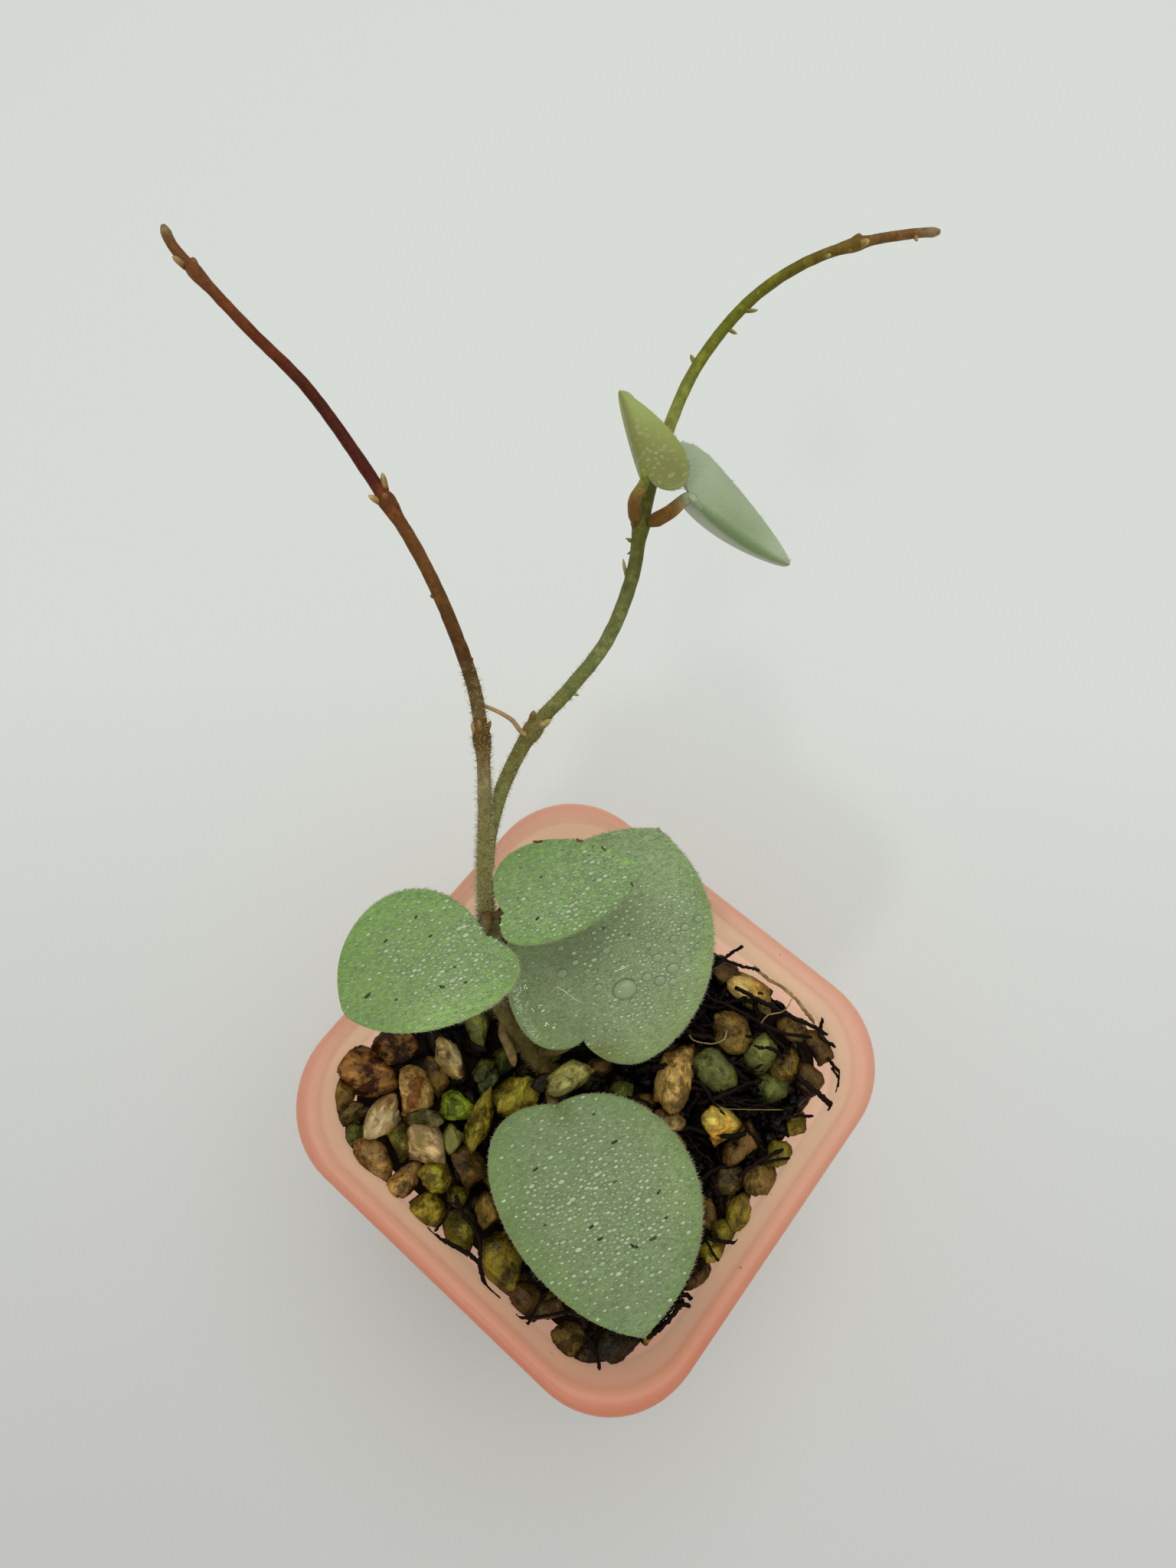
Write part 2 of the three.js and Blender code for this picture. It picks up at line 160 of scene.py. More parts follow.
# Pattern place turned by degrees and stretched along the turned axes
def turnedPlace(tree, place, turn, stretch):
    inputs = {"Vector": place, "Rotation": [math.radians(angle) for angle in turn], "Scale": stretch}
    return addNode(tree, "ShaderNodeMapping", inputs, vector_type="TEXTURE").outputs[0]


def noiseValue(tree, place, scale, detail=3.0, roughness=0.55):
    inputs = {"Vector": place, "Scale": scale, "Detail": detail, "Roughness": roughness}
    return addNode(tree, "ShaderNodeTexNoise", inputs).outputs["Fac"]


def between(tree, value, low, high, toLow=0.0, toHigh=1.0):
    inputs = {"Value": value, "From Min": low, "From Max": high, "To Min": toLow, "To Max": toHigh}
    return addNode(tree, "ShaderNodeMapRange", inputs).outputs[0]


def combined(tree, one, other, operation):
    return addNode(tree, "ShaderNodeMath", {0: one, 1: other}, operation=operation).outputs[0]


def bump(tree, height, strength, distance):
    inputs = {"Height": height, "Strength": strength, "Distance": distance * mm}
    return addNode(tree, "ShaderNodeBump", inputs).outputs[0]


def scaled(tone, share):
    return tuple(share * channel for channel in tone)


# A smooth route through given corners, as points spaced evenly along it
def smoothRoute(corners, count, stepsBetween=40):
    corners = np.asarray(corners, float)
    padded = np.vstack([2 * corners[0] - corners[1], corners, 2 * corners[-1] - corners[-2]])
    fine = []
    for i in range(1, len(padded) - 2):
        a, b, c, d = padded[i - 1:i + 3]
        before, span, after = (max(np.linalg.norm(q - p), 1e-6) ** 0.5 for p, q in ((a, b), (b, c), (c, d)))
        leave = ((b - a) / before - (c - a) / (before + span) + (c - b) / span) * span
        arrive = ((c - b) / span - (d - b) / (span + after) + (d - c) / after) * span
        for t in np.linspace(0, 1, stepsBetween, endpoint=False):
            fine.append(
                (2 * t ** 3 - 3 * t ** 2 + 1) * b + (t ** 3 - 2 * t ** 2 + t) * leave
                + (3 * t ** 2 - 2 * t ** 3) * c + (t ** 3 - t ** 2) * arrive
            )
    return evenPoints(np.array(fine + [corners[-1]]), count)


# How far each point of a route is along it
def runOf(route):
    return np.concatenate([[0], np.cumsum(np.linalg.norm(np.diff(route, axis=0), axis=1))])


def evenPoints(route, count):
    run = runOf(route)
    return pointsAt(route, run, np.linspace(0, run[-1], count))


def pointsAt(route, run, wanted):
    return np.stack([np.interp(wanted, run, route[:, axis]) for axis in range(3)], 1)


def routeFrames(route):
    along = np.gradient(route, axis=0)
    along /= np.linalg.norm(along, axis=1)[:, None]
    sides = [np.array(Vector(along[0]).orthogonal().normalized())]
    for direction in along[1:]:
        side = sides[-1] - direction * np.dot(sides[-1], direction)
        sides.append(side / np.linalg.norm(side))
    return along, np.array(sides), np.cross(along, sides)


# Closed round rod along a route; radii has a value for each point of it, or for each point of every ring
def rod(route, radii, sides):
    _, right, over = routeFrames(route)
    angles = np.arange(sides) / sides * 2 * math.pi
    ring = right[:, None] * np.cos(angles)[None, :, None] + over[:, None] * np.sin(angles)[None, :, None]
    radii = np.asarray(radii, float).reshape(len(route), -1)
    points = (route[:, None] + ring * radii[:, :, None]).reshape(-1, 3)
    faces = []
    for start in range(0, (len(route) - 1) * sides, sides):
        for j in range(sides):
            k = (j + 1) % sides
            faces.append((start + j, start + k, start + sides + k, start + sides + j))
    faces.append(tuple(range(sides))[::-1])
    faces.append(tuple(range((len(route) - 1) * sides, len(route) * sides)))
    return points, faces


# Radii that narrow a little and close in a round end
def blunt(route, radius):
    share = np.linspace(0, 1, len(route))
    return radius * (1 - 0.35 * share) * np.sqrt(1 - np.clip((share - 0.6) / 0.4, 0, 0.97) ** 2)


# Three-sided spikes, one for each root point
def spikes(roots, directions, lengths, radius):
    directions = directions / np.linalg.norm(directions, axis=1)[:, None]
    helper = np.where(np.abs(directions[:, 2:3]) < 0.9, [[0, 0, 1.0]], [[1.0, 0, 0]])
    side = np.cross(directions, helper)
    side /= np.linalg.norm(side, axis=1)[:, None]
    over = np.cross(directions, side)
    angles = (0, 2 * math.pi / 3, 4 * math.pi / 3)
    corners = [roots + (side * math.cos(angle) + over * math.sin(angle)) * radius for angle in angles]
    tips = roots + directions * lengths[:, None]
    points = np.stack([*corners, tips], 1).reshape(-1, 3)
    faces = []
    for i in range(0, 4 * len(roots), 4):
        faces += [(i, i + 1, i + 3), (i + 1, i + 2, i + 3), (i + 2, i, i + 3), (i, i + 2, i + 1)]
    return points, faces


def shapeArrays(piece):
    points = np.array([vertex.co for vertex in piece.data.vertices])
    faces = [tuple(face.vertices) for face in piece.data.polygons]
    bpy.data.objects.remove(piece)
    return points, faces


print("pot")
potSizes = {
    "turn": -36.5, "rimSide": 60.0, "rimHeight": 50.0, "footSide": 43.0, "footCorner": 8.3,
    "cornerShare": 0.394, "cornerSteps": 14, "lip": 1.2, "wall": 1.3, "floor": 1.6, "edge": 0.8,
    "outsideHeights": (12, 24, 36, 44), "insideHeights": (46, 42, 30, 16), "roll": 1.25, "rollHeight": 1.45,
    "drainRadius": 2.5, "drainReach": 9.0, "drainDepth": 8.0,
}
# Pot tones: the tones for the near side and the left one are painted shade
potTones = {
    "rim": (0.7, 0.32, 0.21), "rimNearShaded": (0.55, 0.19, 0.105), "left": (0.94, 0.92, 0.9),
    "wall": (0.72, 0.365, 0.255), "wallNearShaded": (0.6, 0.25, 0.15), "cloud": (0.95, 0.95, 0.95),
    "dirt": (0.12, 0.07, 0.04), "rimDepth": 1.6, "rimFade": 1.3,
}
# Painted glow on the inside that stands in for light through the wall: its tone inside and at the grit's
# edge, and how it fades toward the rim
potPaintedGlow = {
    "inside": (0.3, 0.27, 0.19), "edge": (0.46, 0.33, 0.25), "edgeHeight": (0.0446, 0.0436), "rimFrom": 46,
    "reach": 28.6, "fade": 1.2, "overRim": ((49.3, 50.6), (1.0, 0.65)), "gain": (0.93, 0.001, 0.011),
}


def outerHalf(z):
    foot = potSizes["footSide"] / 2
    return foot + (potSizes["rimSide"] / 2 - potSizes["lip"] - foot) * z / potSizes["rimHeight"]


def innerHalf(z):
    return outerHalf(z) - potSizes["wall"]


# Half widths and heights from the foot up the outside, over the rolled rim and down the inside
def potSection():
    height, edge, floor = potSizes["rimHeight"], potSizes["edge"], potSizes["floor"]
    rounded = [(-edge, 0), (-0.25 * edge, 0.2 * edge), (0, edge)]
    rings = [(outerHalf(0) + inset, rise) for inset, rise in rounded]
    rings += [(outerHalf(z), z) for z in (*potSizes["outsideHeights"], height - 1.5)]
    middle = potSizes["rimSide"] / 2 - potSizes["roll"]
    for degrees in range(-75, 151, 15):
        angle = math.radians(degrees)
        rings.append((
            middle + potSizes["roll"] * math.cos(angle),
            height + 0.1 + potSizes["rollHeight"] * math.sin(angle),
        ))
    rings += [(innerHalf(z), z) for z in (height - 0.6, *potSizes["insideHeights"], floor + edge)]
    return rings + [(innerHalf(0) + inset, floor + rise) for inset, rise in (rounded[1], rounded[0])]


# A square with rounded corners, left in edit mode and selected all over
def startSquare(half, height, corner, steps):
    bpy.ops.mesh.primitive_plane_add(size=2 * half * mm, location=(0, 0, height * mm))
    bpy.ops.object.mode_set(mode="EDIT")
    bpy.ops.mesh.select_all(action="SELECT")
    bpy.ops.mesh.bevel(offset=corner * mm, segments=steps, affect="VERTICES")
    bpy.ops.mesh.select_all(action="SELECT")
    return bpy.context.active_object


def extrudeSquare(rise, scale, height):
    bpy.ops.mesh.extrude_region_move(TRANSFORM_OT_translate={"value": (0, 0, rise * mm)})
    bpy.ops.transform.resize(value=(scale, scale, 1), center_override=(0, 0, height * mm))


# Closes the open ends, turns the faces outward and turns the piece as the pot stands
def finishSquare(piece, name):
    bpy.ops.mesh.select_all(action="DESELECT")
    bpy.ops.mesh.select_mode(type="EDGE")
    bpy.ops.mesh.select_non_manifold()
    bpy.ops.mesh.edge_face_add()
    bpy.ops.mesh.select_mode(type="FACE")
    bpy.ops.mesh.select_all(action="SELECT")
    bpy.ops.mesh.normals_make_consistent(inside=False)
    bpy.ops.object.mode_set(mode="OBJECT")
    bpy.ops.object.transform_apply(location=True, rotation=True, scale=True)
    piece.data.transform(Matrix.Rotation(math.radians(potSizes["turn"]), 4, "Z"))
    piece.name = piece.data.name = name
    return piece


def makePot():
    rings = potSection()
    shell = startSquare(rings[0][0], 0, potSizes["footCorner"], potSizes["cornerSteps"])
    for (before, low), (half, high) in zip(rings, rings[1:]):
        extrudeSquare(high - low, half / before, high)
    finishSquare(shell, "pot_shell")
    reach = potSizes["drainReach"] * math.sqrt(2) * mm
    for quarter in range(4):
        angle = math.radians(potSizes["turn"]) + math.radians(45 + 90 * quarter)
        bpy.ops.mesh.primitive_cylinder_add(
            vertices=32, radius=potSizes["drainRadius"] * mm, depth=potSizes["drainDepth"] * mm,
            location=(reach * math.cos(angle), reach * math.sin(angle), 0),
        )
        drill = bpy.context.active_object
        applied(shell, "BOOLEAN", operation="DIFFERENCE", solver="EXACT", object=drill)
        bpy.data.objects.remove(drill)
    return shell


# How far out a point is, as the half width of the rounded square that passes through it
def potSquare(x, y):
    turn = math.radians(-potSizes["turn"])
    u = np.abs(x * math.cos(turn) - y * math.sin(turn))
    v = np.abs(x * math.sin(turn) + y * math.cos(turn))
    corner = potSizes["cornerShare"]
    flat = 1 - corner
    a, b = 2 * flat ** 2 - corner ** 2, flat * (u + v)
    rounded = (b - np.sqrt(np.maximum(b * b - a * (u * u + v * v), 0))) / a
    return np.where(np.minimum(u, v) > flat * np.maximum(u, v), rounded, np.maximum(u, v))


# Two fields: how much of the rim's tone a point has, and how much painted glow it gets, standing in for light
# through the wall, a little stronger toward the far side
def addPotFields(shell):
    rolled, inside = [], []
    gain, gainAcross, gainAway = potPaintedGlow["gain"]
    for vertex in shell.data.vertices:
        x, y, z = vertex.co / mm
        square = potSquare(x, y)
        outward = (square - potSizes["rimSide"] / 2 + potTones["rimDepth"]) / potTones["rimFade"]
        rolled.append(np.clip(outward, 0, 1) if z > potSizes["rimHeight"] - potTones["rimDepth"] else 0)
        lit = float(square < innerHalf(z) + 0.2)
        if z > potPaintedGlow["rimFrom"]:
            lit = np.clip((potPaintedGlow["reach"] - square) / potPaintedGlow["fade"], 0, 1)
            lit *= np.interp(z, *potPaintedGlow["overRim"])
        inside.append(lit * (gain + gainAway * y + gainAcross * x))
    addField(shell.data, "rolled", rolled)
    addField(shell.data, "inside", inside)


# Points past the pot's inner wall are pressed back against it
def pressedInside(points, clearance=0.15):
    limit = innerHalf(points[:, 2]) - clearance
    shrink = np.minimum(limit / potSquare(points[:, 0], points[:, 1]), 1)
    return points * np.stack([shrink, shrink, np.ones(len(points))], 1)


def potMaterial():
    material, tree, shader = newMaterial("salmon_plastic")
    place = objectPlace(tree)
    # Painted shade: rim and wall darker and deeper toward the near side
    near = between(tree, axisOf(tree, place, "Y"), 0.004, -0.03)
    wall = mixColour(tree, near, potTones["wall"], potTones["wallNearShaded"])
    rim = mixColour(tree, near, potTones["rim"], potTones["rimNearShaded"])
    tone = mixColour(tree, attribute(tree, "rolled"), wall, rim)
    clouded = between(tree, noiseValue(tree, place, 60.0), 0.35, 0.7)
    tone = mixColour(tree, clouded, tone, potTones["cloud"], "MULTIPLY")
    # Painted shade: a little darker toward the left
    leftShade = between(tree, axisOf(tree, place, "X"), 0.0, -0.028)
    tone = mixColour(tree, leftShade, tone, potTones["left"], "MULTIPLY")
    specks = between(tree, noiseValue(tree, place, 900.0, 1.0), 0.78, 0.82)
    atEdge = between(tree, axisOf(tree, place, "Z"), *potPaintedGlow["edgeHeight"])
    glow = mixColour(tree, atEdge, potPaintedGlow["inside"], potPaintedGlow["edge"])
    scuffs = noiseValue(tree, turnedPlace(tree, place, (0, 0, 53.5), (8, 1, 1)), 240.0)
    setSockets(tree, shader, {
        "Base Color": mixColour(tree, specks, tone, potTones["dirt"]),
        "Roughness": between(tree, scuffs, 0.3, 0.8, 0.36, 0.5),
        "Subsurface Weight": 1.0, "Subsurface Radius": (1.0, 0.8, 0.7), "Subsurface Scale": 7 * mm,
        # The emission is painted glow that stands in for light through the wall
        "Emission Color": mixColour(tree, attribute(tree, "inside"), (0, 0, 0), glow),
        "Emission Strength": 1.0, "Normal": bump(tree, scuffs, 0.12, 0.2),
    })
    return material


pot = makePot()
addPotFields(pot)
finishPiece(pot, potMaterial(), "pot")
pot.data.set_sharp_from_angle(angle=math.radians(40))


print("grit")
gritSizes = {
    "top": 44.6, "seed": 12, "namedScale": 1.1, "namedDrop": 0.2, "tries": 9000, "size": (3.6, 5.4),
    "apart": 0.86, "height": (42.9, 43.7), "wallRise": 0.8, "wallRiseFrom": 5, "nearWall": 22.6,
    "hollowFrom": 9, "hollowAway": (-14, 12), "hollowEmpty": 0.97,
    "lowerSpacing": 4.7, "lowerStray": 0.8, "lowerSize": (4.2, 5.4), "lowerHeight": 40.6, "lowerShade": 0.6,
    "coreTop": 40.0, "coreGap": 0.4, "coreRings": (0.85, 0.8, 0.7, 0.6),
}
# Chips of stone: how near the middle the cutting planes pass, and name, size and depth of the dents
chipSizes = {"planes": (0.46, 0.8), "smooth": 0.25, "dents": (("dented", 0.6, 0.3), ("chipped", 0.22, 0.11))}
# Tones of the stones: main colour and colour of the stains
stoneTones = {
    "rust": ((0.3, 0.13, 0.028), (0.04, 0.01, 0.003)),
    "darkRust": ((0.27, 0.11, 0.022), (0.035, 0.012, 0.003)),
    "cream": ((0.48, 0.33, 0.1), (0.17, 0.065, 0.012)),
    "pinkCream": ((0.56, 0.4, 0.19), (0.3, 0.19, 0.06)),
    "greyCream": ((0.34, 0.32, 0.1), (0.13, 0.11, 0.02)),
    "paleTan": ((0.75, 0.54, 0.16), (0.4, 0.24, 0.05)),
    "tanCream": ((0.4, 0.28, 0.075), (0.16, 0.1, 0.02)),
    "tan": ((0.2, 0.13, 0.016), (0.06, 0.032, 0.004)),
    "layered": ((0.2, 0.125, 0.026), (0.05, 0.03, 0.005)),
    "paleLayered": ((0.36, 0.22, 0.06), (0.1, 0.05, 0.01)),
    "oliveYellow": ((0.33, 0.26, 0.02), (0.11, 0.08, 0.005)),
    "olive": ((0.2, 0.165, 0.012), (0.065, 0.05, 0.004)),
    "green": ((0.23, 0.29, 0.016), (0.065, 0.095, 0.006)),
    "darkGreen": ((0.12, 0.145, 0.018), (0.04, 0.05, 0.006)),
    "shard": ((0.19, 0.2, 0.04), (0.11, 0.12, 0.022)),
    "darkShard": ((0.13, 0.145, 0.03), (0.085, 0.095, 0.018)),
    "brown": ((0.19, 0.12, 0.022), (0.045, 0.026, 0.005)),
    "darkBrown": ((0.095, 0.055, 0.01), (0.022, 0.011, 0.003)),
    "yellow": ((0.58, 0.43, 0.08), (0.46, 0.24, 0.03)),
    "black": ((0.028, 0.022, 0.007), (0.008, 0.006, 0.003)),
}
# Stones that stand out: x, y, height of the middle, long and wide sizes, turn in degrees, tone, shape
namedStones = [
    (-29.9, -0.6, 45.4, 8.6, 5.8, -12, "rust", 0), (-33.5, -3.3, 44.8, 5.4, 4.4, -60, "layered", 1),
    (-31.9, -5.8, 44.3, 5.8, 3.4, 15, "layered", 2), (-26.9, -6.3, 45.0, 6.2, 4.2, 48, "pinkCream", 3),
    (-23.4, -2.6, 45.2, 5.9, 5.2, -50, "cream", 4), (-20.4, -0.6, 44.4, 5.2, 2.7, -70, "tan", 5),
    (-19.2, 1.6, 44.8, 5.6, 3.6, -62, "pinkCream", 6), (-15.4, 6.2, 45.4, 5.0, 3.0, -60, "shard", 8),
    (-26.5, 3.0, 44.8, 5.8, 4.6, 10, "darkRust", 7), (-17.4, -4.1, 45.0, 4.4, 3.6, 10, "green", 8),
    (-14.3, 0.7, 43.8, 3.8, 2.2, 50, "darkGreen", 5), (-13.5, -0.9, 43.8, 3.6, 1.9, 50, "darkGreen", 9),
    (-9.4, -2.4, 44.6, 6.2, 5.0, 40, "oliveYellow", 0), (-14.2, -5.8, 44.4, 8.2, 3.1, 78, "oliveYellow", 2),
    (-21.0, -9.5, 45.0, 5.8, 4.8, -55, "pinkCream", 6), (-24.3, -8.9, 43.9, 5.0, 4.0, -30, "olive", 4),
    (-21.8, -6.0, 43.8, 5.2, 2.6, -15, "greyCream", 9), (-17.5, -8.4, 44.5, 3.6, 2.6, 80, "shard", 3),
    (-27.8, -11.5, 44.7, 6.4, 4.4, -40, "paleLayered", 7),
    (-23.4, -13.8, 44.5, 6.2, 3.2, 58, "paleLayered", 2),
    (-19.3, -13.0, 44.9, 4.3, 3.8, 5, "oliveYellow", 1),
    (-15.4, -11.7, 44.3, 5.2, 4.2, -30, "darkBrown", 4),
    (-20.1, -17.2, 44.6, 5.2, 4.3, 12, "oliveYellow", 5), (-15.2, -19.4, 44.3, 5.6, 4.0, -60, "olive", 8),
    (-9.8, -23.1, 44.5, 7.2, 5.2, -65, "olive", 0), (-12.0, -16.8, 44.0, 4.2, 3.6, 80, "tan", 3),
    (-2.6, 0.2, 47.9, 6.4, 3.4, 28, "greyCream", 5), (-4.2, -2.4, 46.4, 3.6, 3.0, 60, "black", 1),
    (-6.0, -0.9, 45.6, 3.2, 2.6, 10, "black", 3), (-6.6, -26.8, 44.2, 5.0, 4.2, -25, "darkBrown", 1),
    (-3.6, -27.6, 43.9, 4.4, 3.6, 40, "paleLayered", 4), (-0.6, -31.0, 44.3, 5.2, 4.0, -20, "brown", 7),
    (5.2, -31.0, 44.3, 5.6, 4.2, 15, "black", 2), (2.4, -32.4, 44.6, 4.4, 3.2, 5, "darkBrown", 6),
    (11.6, 1.1, 45.4, 9.6, 4.6, 68, "tanCream", 5), (10.6, -5.0, 44.6, 4.6, 3.9, -20, "paleLayered", 3),
    (11.8, -7.8, 43.9, 3.4, 3.0, 20, "olive", 1), (17.7, -4.9, 45.0, 5.6, 4.9, -15, "yellow", 6),
    (20.8, -7.4, 44.2, 6.0, 4.0, 60, "brown", 4), (19.5, 7.2, 44.8, 6.4, 4.8, -40, "layered", 7),
    (26.6, 3.2, 44.8, 4.8, 3.3, 80, "tan", 8), (29.9, 1.6, 44.4, 4.6, 3.6, -50, "darkBrown", 1),
    (31.2, 5.8, 45.0, 4.8, 3.6, -35, "darkBrown", 4), (22.4, 12.8, 44.2, 7.0, 3.8, -38, "paleTan", 5),
    (18.6, 15.2, 43.9, 4.4, 3.0, -30, "darkBrown", 3), (23.4, 4.6, 44.0, 5.4, 3.6, 60, "shard", 9),
    (24.8, 0.4, 43.9, 4.6, 3.8, 30, "darkShard", 8), (17.0, 2.2, 44.2, 6.4, 4.4, -45, "darkShard", 9),
    (18.8, -11.6, 44.0, 4.6, 3.6, 50, "darkBrown", 7), (25.4, -8.1, 44.9, 4.2, 3.0, 60, "olive", 1),
    (23.0, -11.2, 45.1, 4.8, 3.6, 48, "layered", 7), (20.4, -15.4, 44.9, 4.6, 3.4, 55, "olive", 3),
    (18.8, -17.6, 44.7, 3.6, 2.8, 20, "olive", 0), (17.3, -19.7, 44.6, 4.0, 2.8, 50, "oliveYellow", 2),
    (15.0, -22.9, 44.6, 4.4, 3.2, 55, "darkBrown", 4), (28.3, -4.3, 44.5, 3.4, 2.6, 50, "oliveYellow", 6),
    (-30.8, -9.0, 43.9, 4.4, 3.4, 50, "darkGreen", 1),
]


def makeChip(seed, cuts, grain):
    draw = random.Random(seed)
    bpy.ops.mesh.primitive_ico_sphere_add(subdivisions=3, radius=1)
    stone = bpy.context.active_object
    bpy.ops.object.mode_set(mode="EDIT")
    for _ in range(cuts):
        bpy.ops.mesh.select_all(action="SELECT")
        facing = Vector((draw.gauss(0, 1), draw.gauss(0, 1), draw.gauss(0, 0.8))).normalized()
        cut = facing * draw.uniform(*chipSizes["planes"])
        bpy.ops.mesh.bisect(plane_co=cut, plane_no=facing, use_fill=True, clear_outer=True)
    bpy.ops.object.mode_set(mode="OBJECT")
    applied(stone, "REMESH", mode="VOXEL", voxel_size=grain)
    applied(stone, "SMOOTH", factor=chipSizes["smooth"], iterations=1)
    for name, size, depth in chipSizes["dents"]:
        clouds = bpy.data.textures.new(name, "CLOUDS")
        clouds.noise_scale = size
        clouds.noise_depth = 2
        applied(stone, "DISPLACE", texture=clouds, strength=depth, mid_level=0.5, texture_coords="LOCAL")
    points, faces = shapeArrays(stone)
    points -= (points.max(0) + points.min(0)) / 2
    return points / (points.max(0) - points.min(0)).max(), faces


def toneJitter(draw, tone, spread):
    bright = draw.uniform(1 - spread, 1 + spread)
    return [*(min(channel * bright * draw.uniform(0.92, 1.08), 1) for channel in tone), 1]


# Puts a chip in its place; grain is where the pattern is read, and a field how far out on the stone a point
# is, which carries painted shade on its flanks
def addStone(gathered, draw, chip, place, sizes, turn, tones, tilt):
    points, faces = chip
    turned = (
        Matrix.Rotation(math.radians(turn), 3, "Z")
        @ Matrix.Rotation(draw.uniform(-tilt, tilt), 3, "X")
        @ Matrix.Rotation(draw.uniform(-tilt, tilt), 3, "Y")
    )
    local = points / (points.max(0) - points.min(0)) * np.array(sizes)
    shift = [draw.uniform(-50, 50) for _ in range(3)]
    outward = 2 * np.hypot(local[:, 0] / sizes[0], local[:, 1] / sizes[1])
    gathered.add(
        pressedInside(local @ np.array(turned).T + np.array(place)), faces,
        tone=toneJitter(draw, tones[0], 0.12), stain=toneJitter(draw, tones[1], 0.2),
        grain=(local + shift) * mm, flank=np.clip((outward - 0.45) / 0.55, 0, 1),
    )


def stoneMaterial():
    material, tree, shader = newMaterial("wet_stone")
    grain = attribute(tree, "grain", "Vector")
    stains = between(tree, noiseValue(tree, grain, 300.0, 5.0, 0.68), 0.47, 0.57)
    tone = mixColour(tree, stains, attribute(tree, "tone", "Color"), attribute(tree, "stain", "Color"))
    # Pale crust patches, brightened further as painted highlights
    crustAndHighlight = noiseValue(tree, turnedPlace(tree, grain, (20, 0, 25), (1.8, 0.8, 0.8)), 700.0, 4.0, 0.6)
    tone = mixColour(tree, between(tree, crustAndHighlight, 0.48, 0.66), tone, (1.9, 1.85, 1.7), "MULTIPLY")
    pores = noiseValue(tree, grain, 900.0, 4.0, 0.6)
    tone = mixColour(tree, between(tree, pores, 0.45, 0.33, 0.0, 0.7), tone, (0.3, 0.16, 0.06), "MULTIPLY")
    # Painted shade: a stone is darker and richer toward its flanks, and below the top layer it is darker
    # still, partly as damp
    flank = between(tree, attribute(tree, "flank"), 0.2, 0.9, 0.0, 0.72)
    tone = mixColour(tree, flank, tone, (0.4, 0.33, 0.2), "MULTIPLY")
    dampAndShade = between(tree, axisOf(tree, objectPlace(tree), "Z"), 0.0425, 0.0455, 0.95, 0.0)
    setSockets(tree, shader, {
        "Base Color": mixColour(tree, dampAndShade, tone, (0.05, 0.035, 0.02), "MULTIPLY"),
        "Roughness": between(tree, crustAndHighlight, 0.35, 0.65, 0.22, 0.42), "Specular IOR Level": 0.2,
        "Normal": bump(tree, combined(tree, crustAndHighlight, pores, "ADD"), 0.7, 0.6),
    })
    return material


def insidePot(x, y, margin):
    return potSquare(x, y) < innerHalf(gritSizes["top"]) - margin


def placeNamedStones(stones, draw, chips):
    for x, y, z, long, wide, turn, tone, chip in namedStones:
        sizes = [gritSizes["namedScale"] * size for size in (long, wide, 0.8 * wide)]
        place = (x, y, z - gritSizes["namedDrop"])
        addStone(stones, draw, chips[chip], place, sizes, turn, stoneTones[tone], 0.25)


# The stones between the named ones; few lie in the dark hollow on the right
def scatterStones(stones, draw, chips):
    centres = [(x, y, (long + wide) / 4) for x, y, _, long, wide, *_ in namedStones]
    common = ["olive", "oliveYellow", "brown", "layered", "tan", "green", "darkBrown", "darkGreen"]
    reach, nearWall = potSizes["rimSide"] / 2 * 1.3, gritSizes["nearWall"]
    nearest, farthest = gritSizes["hollowAway"]
    for _ in range(gritSizes["tries"]):
        x, y = draw.uniform(-reach, reach), draw.uniform(-reach, reach)
        size = draw.uniform(*gritSizes["size"])
        hollow = x > gritSizes["hollowFrom"] and nearest < y < farthest and potSquare(x, y) < nearWall
        if not insidePot(x, y, 0.42 * size) or (hollow and draw.random() < gritSizes["hollowEmpty"]):
            continue
        if all(math.hypot(x - a, y - b) > gritSizes["apart"] * (size / 2 + half) for a, b, half in centres):
            centres.append((x, y, size / 2))
            sizes = (size, size * draw.uniform(0.65, 0.9), size * draw.uniform(0.55, 0.75))
            tones = stoneTones[draw.choice(common)]
            atWall = x > gritSizes["wallRiseFrom"] and potSquare(x, y) > nearWall
            rise = gritSizes["wallRise"] if atWall else 0
            place = (x, y, draw.uniform(*gritSizes["height"]) + rise)
            addStone(stones, draw, draw.choice(chips), place, sizes, draw.uniform(0, 360), tones, 0.5)


# Darker stones that fill the gaps from below, in staggered rows
def placeLowerStones(stones, draw, chips):
    spacing, stray = gritSizes["lowerSpacing"], gritSizes["lowerStray"]
    for row in range(-9, 10):
        for column in range(-9, 10):
            x = (column + 0.5 * (row % 2)) * spacing + draw.uniform(-stray, stray)
            y = row * spacing * 0.87 + draw.uniform(-stray, stray)
            if insidePot(x, y, 2.6):
                size = draw.uniform(*gritSizes["lowerSize"])
                tones = stoneTones[draw.choice(["olive", "brown", "green", "olive"])]
                tones = [scaled(tone, gritSizes["lowerShade"]) for tone in tones]
                place = (x, y, gritSizes["lowerHeight"] + draw.uniform(-0.5, 0.5))
                sizes = (size, size * 0.85, size * 0.7)
                addStone(stones, draw, draw.choice(chips), place, sizes, draw.uniform(0, 360), tones, 0.5)


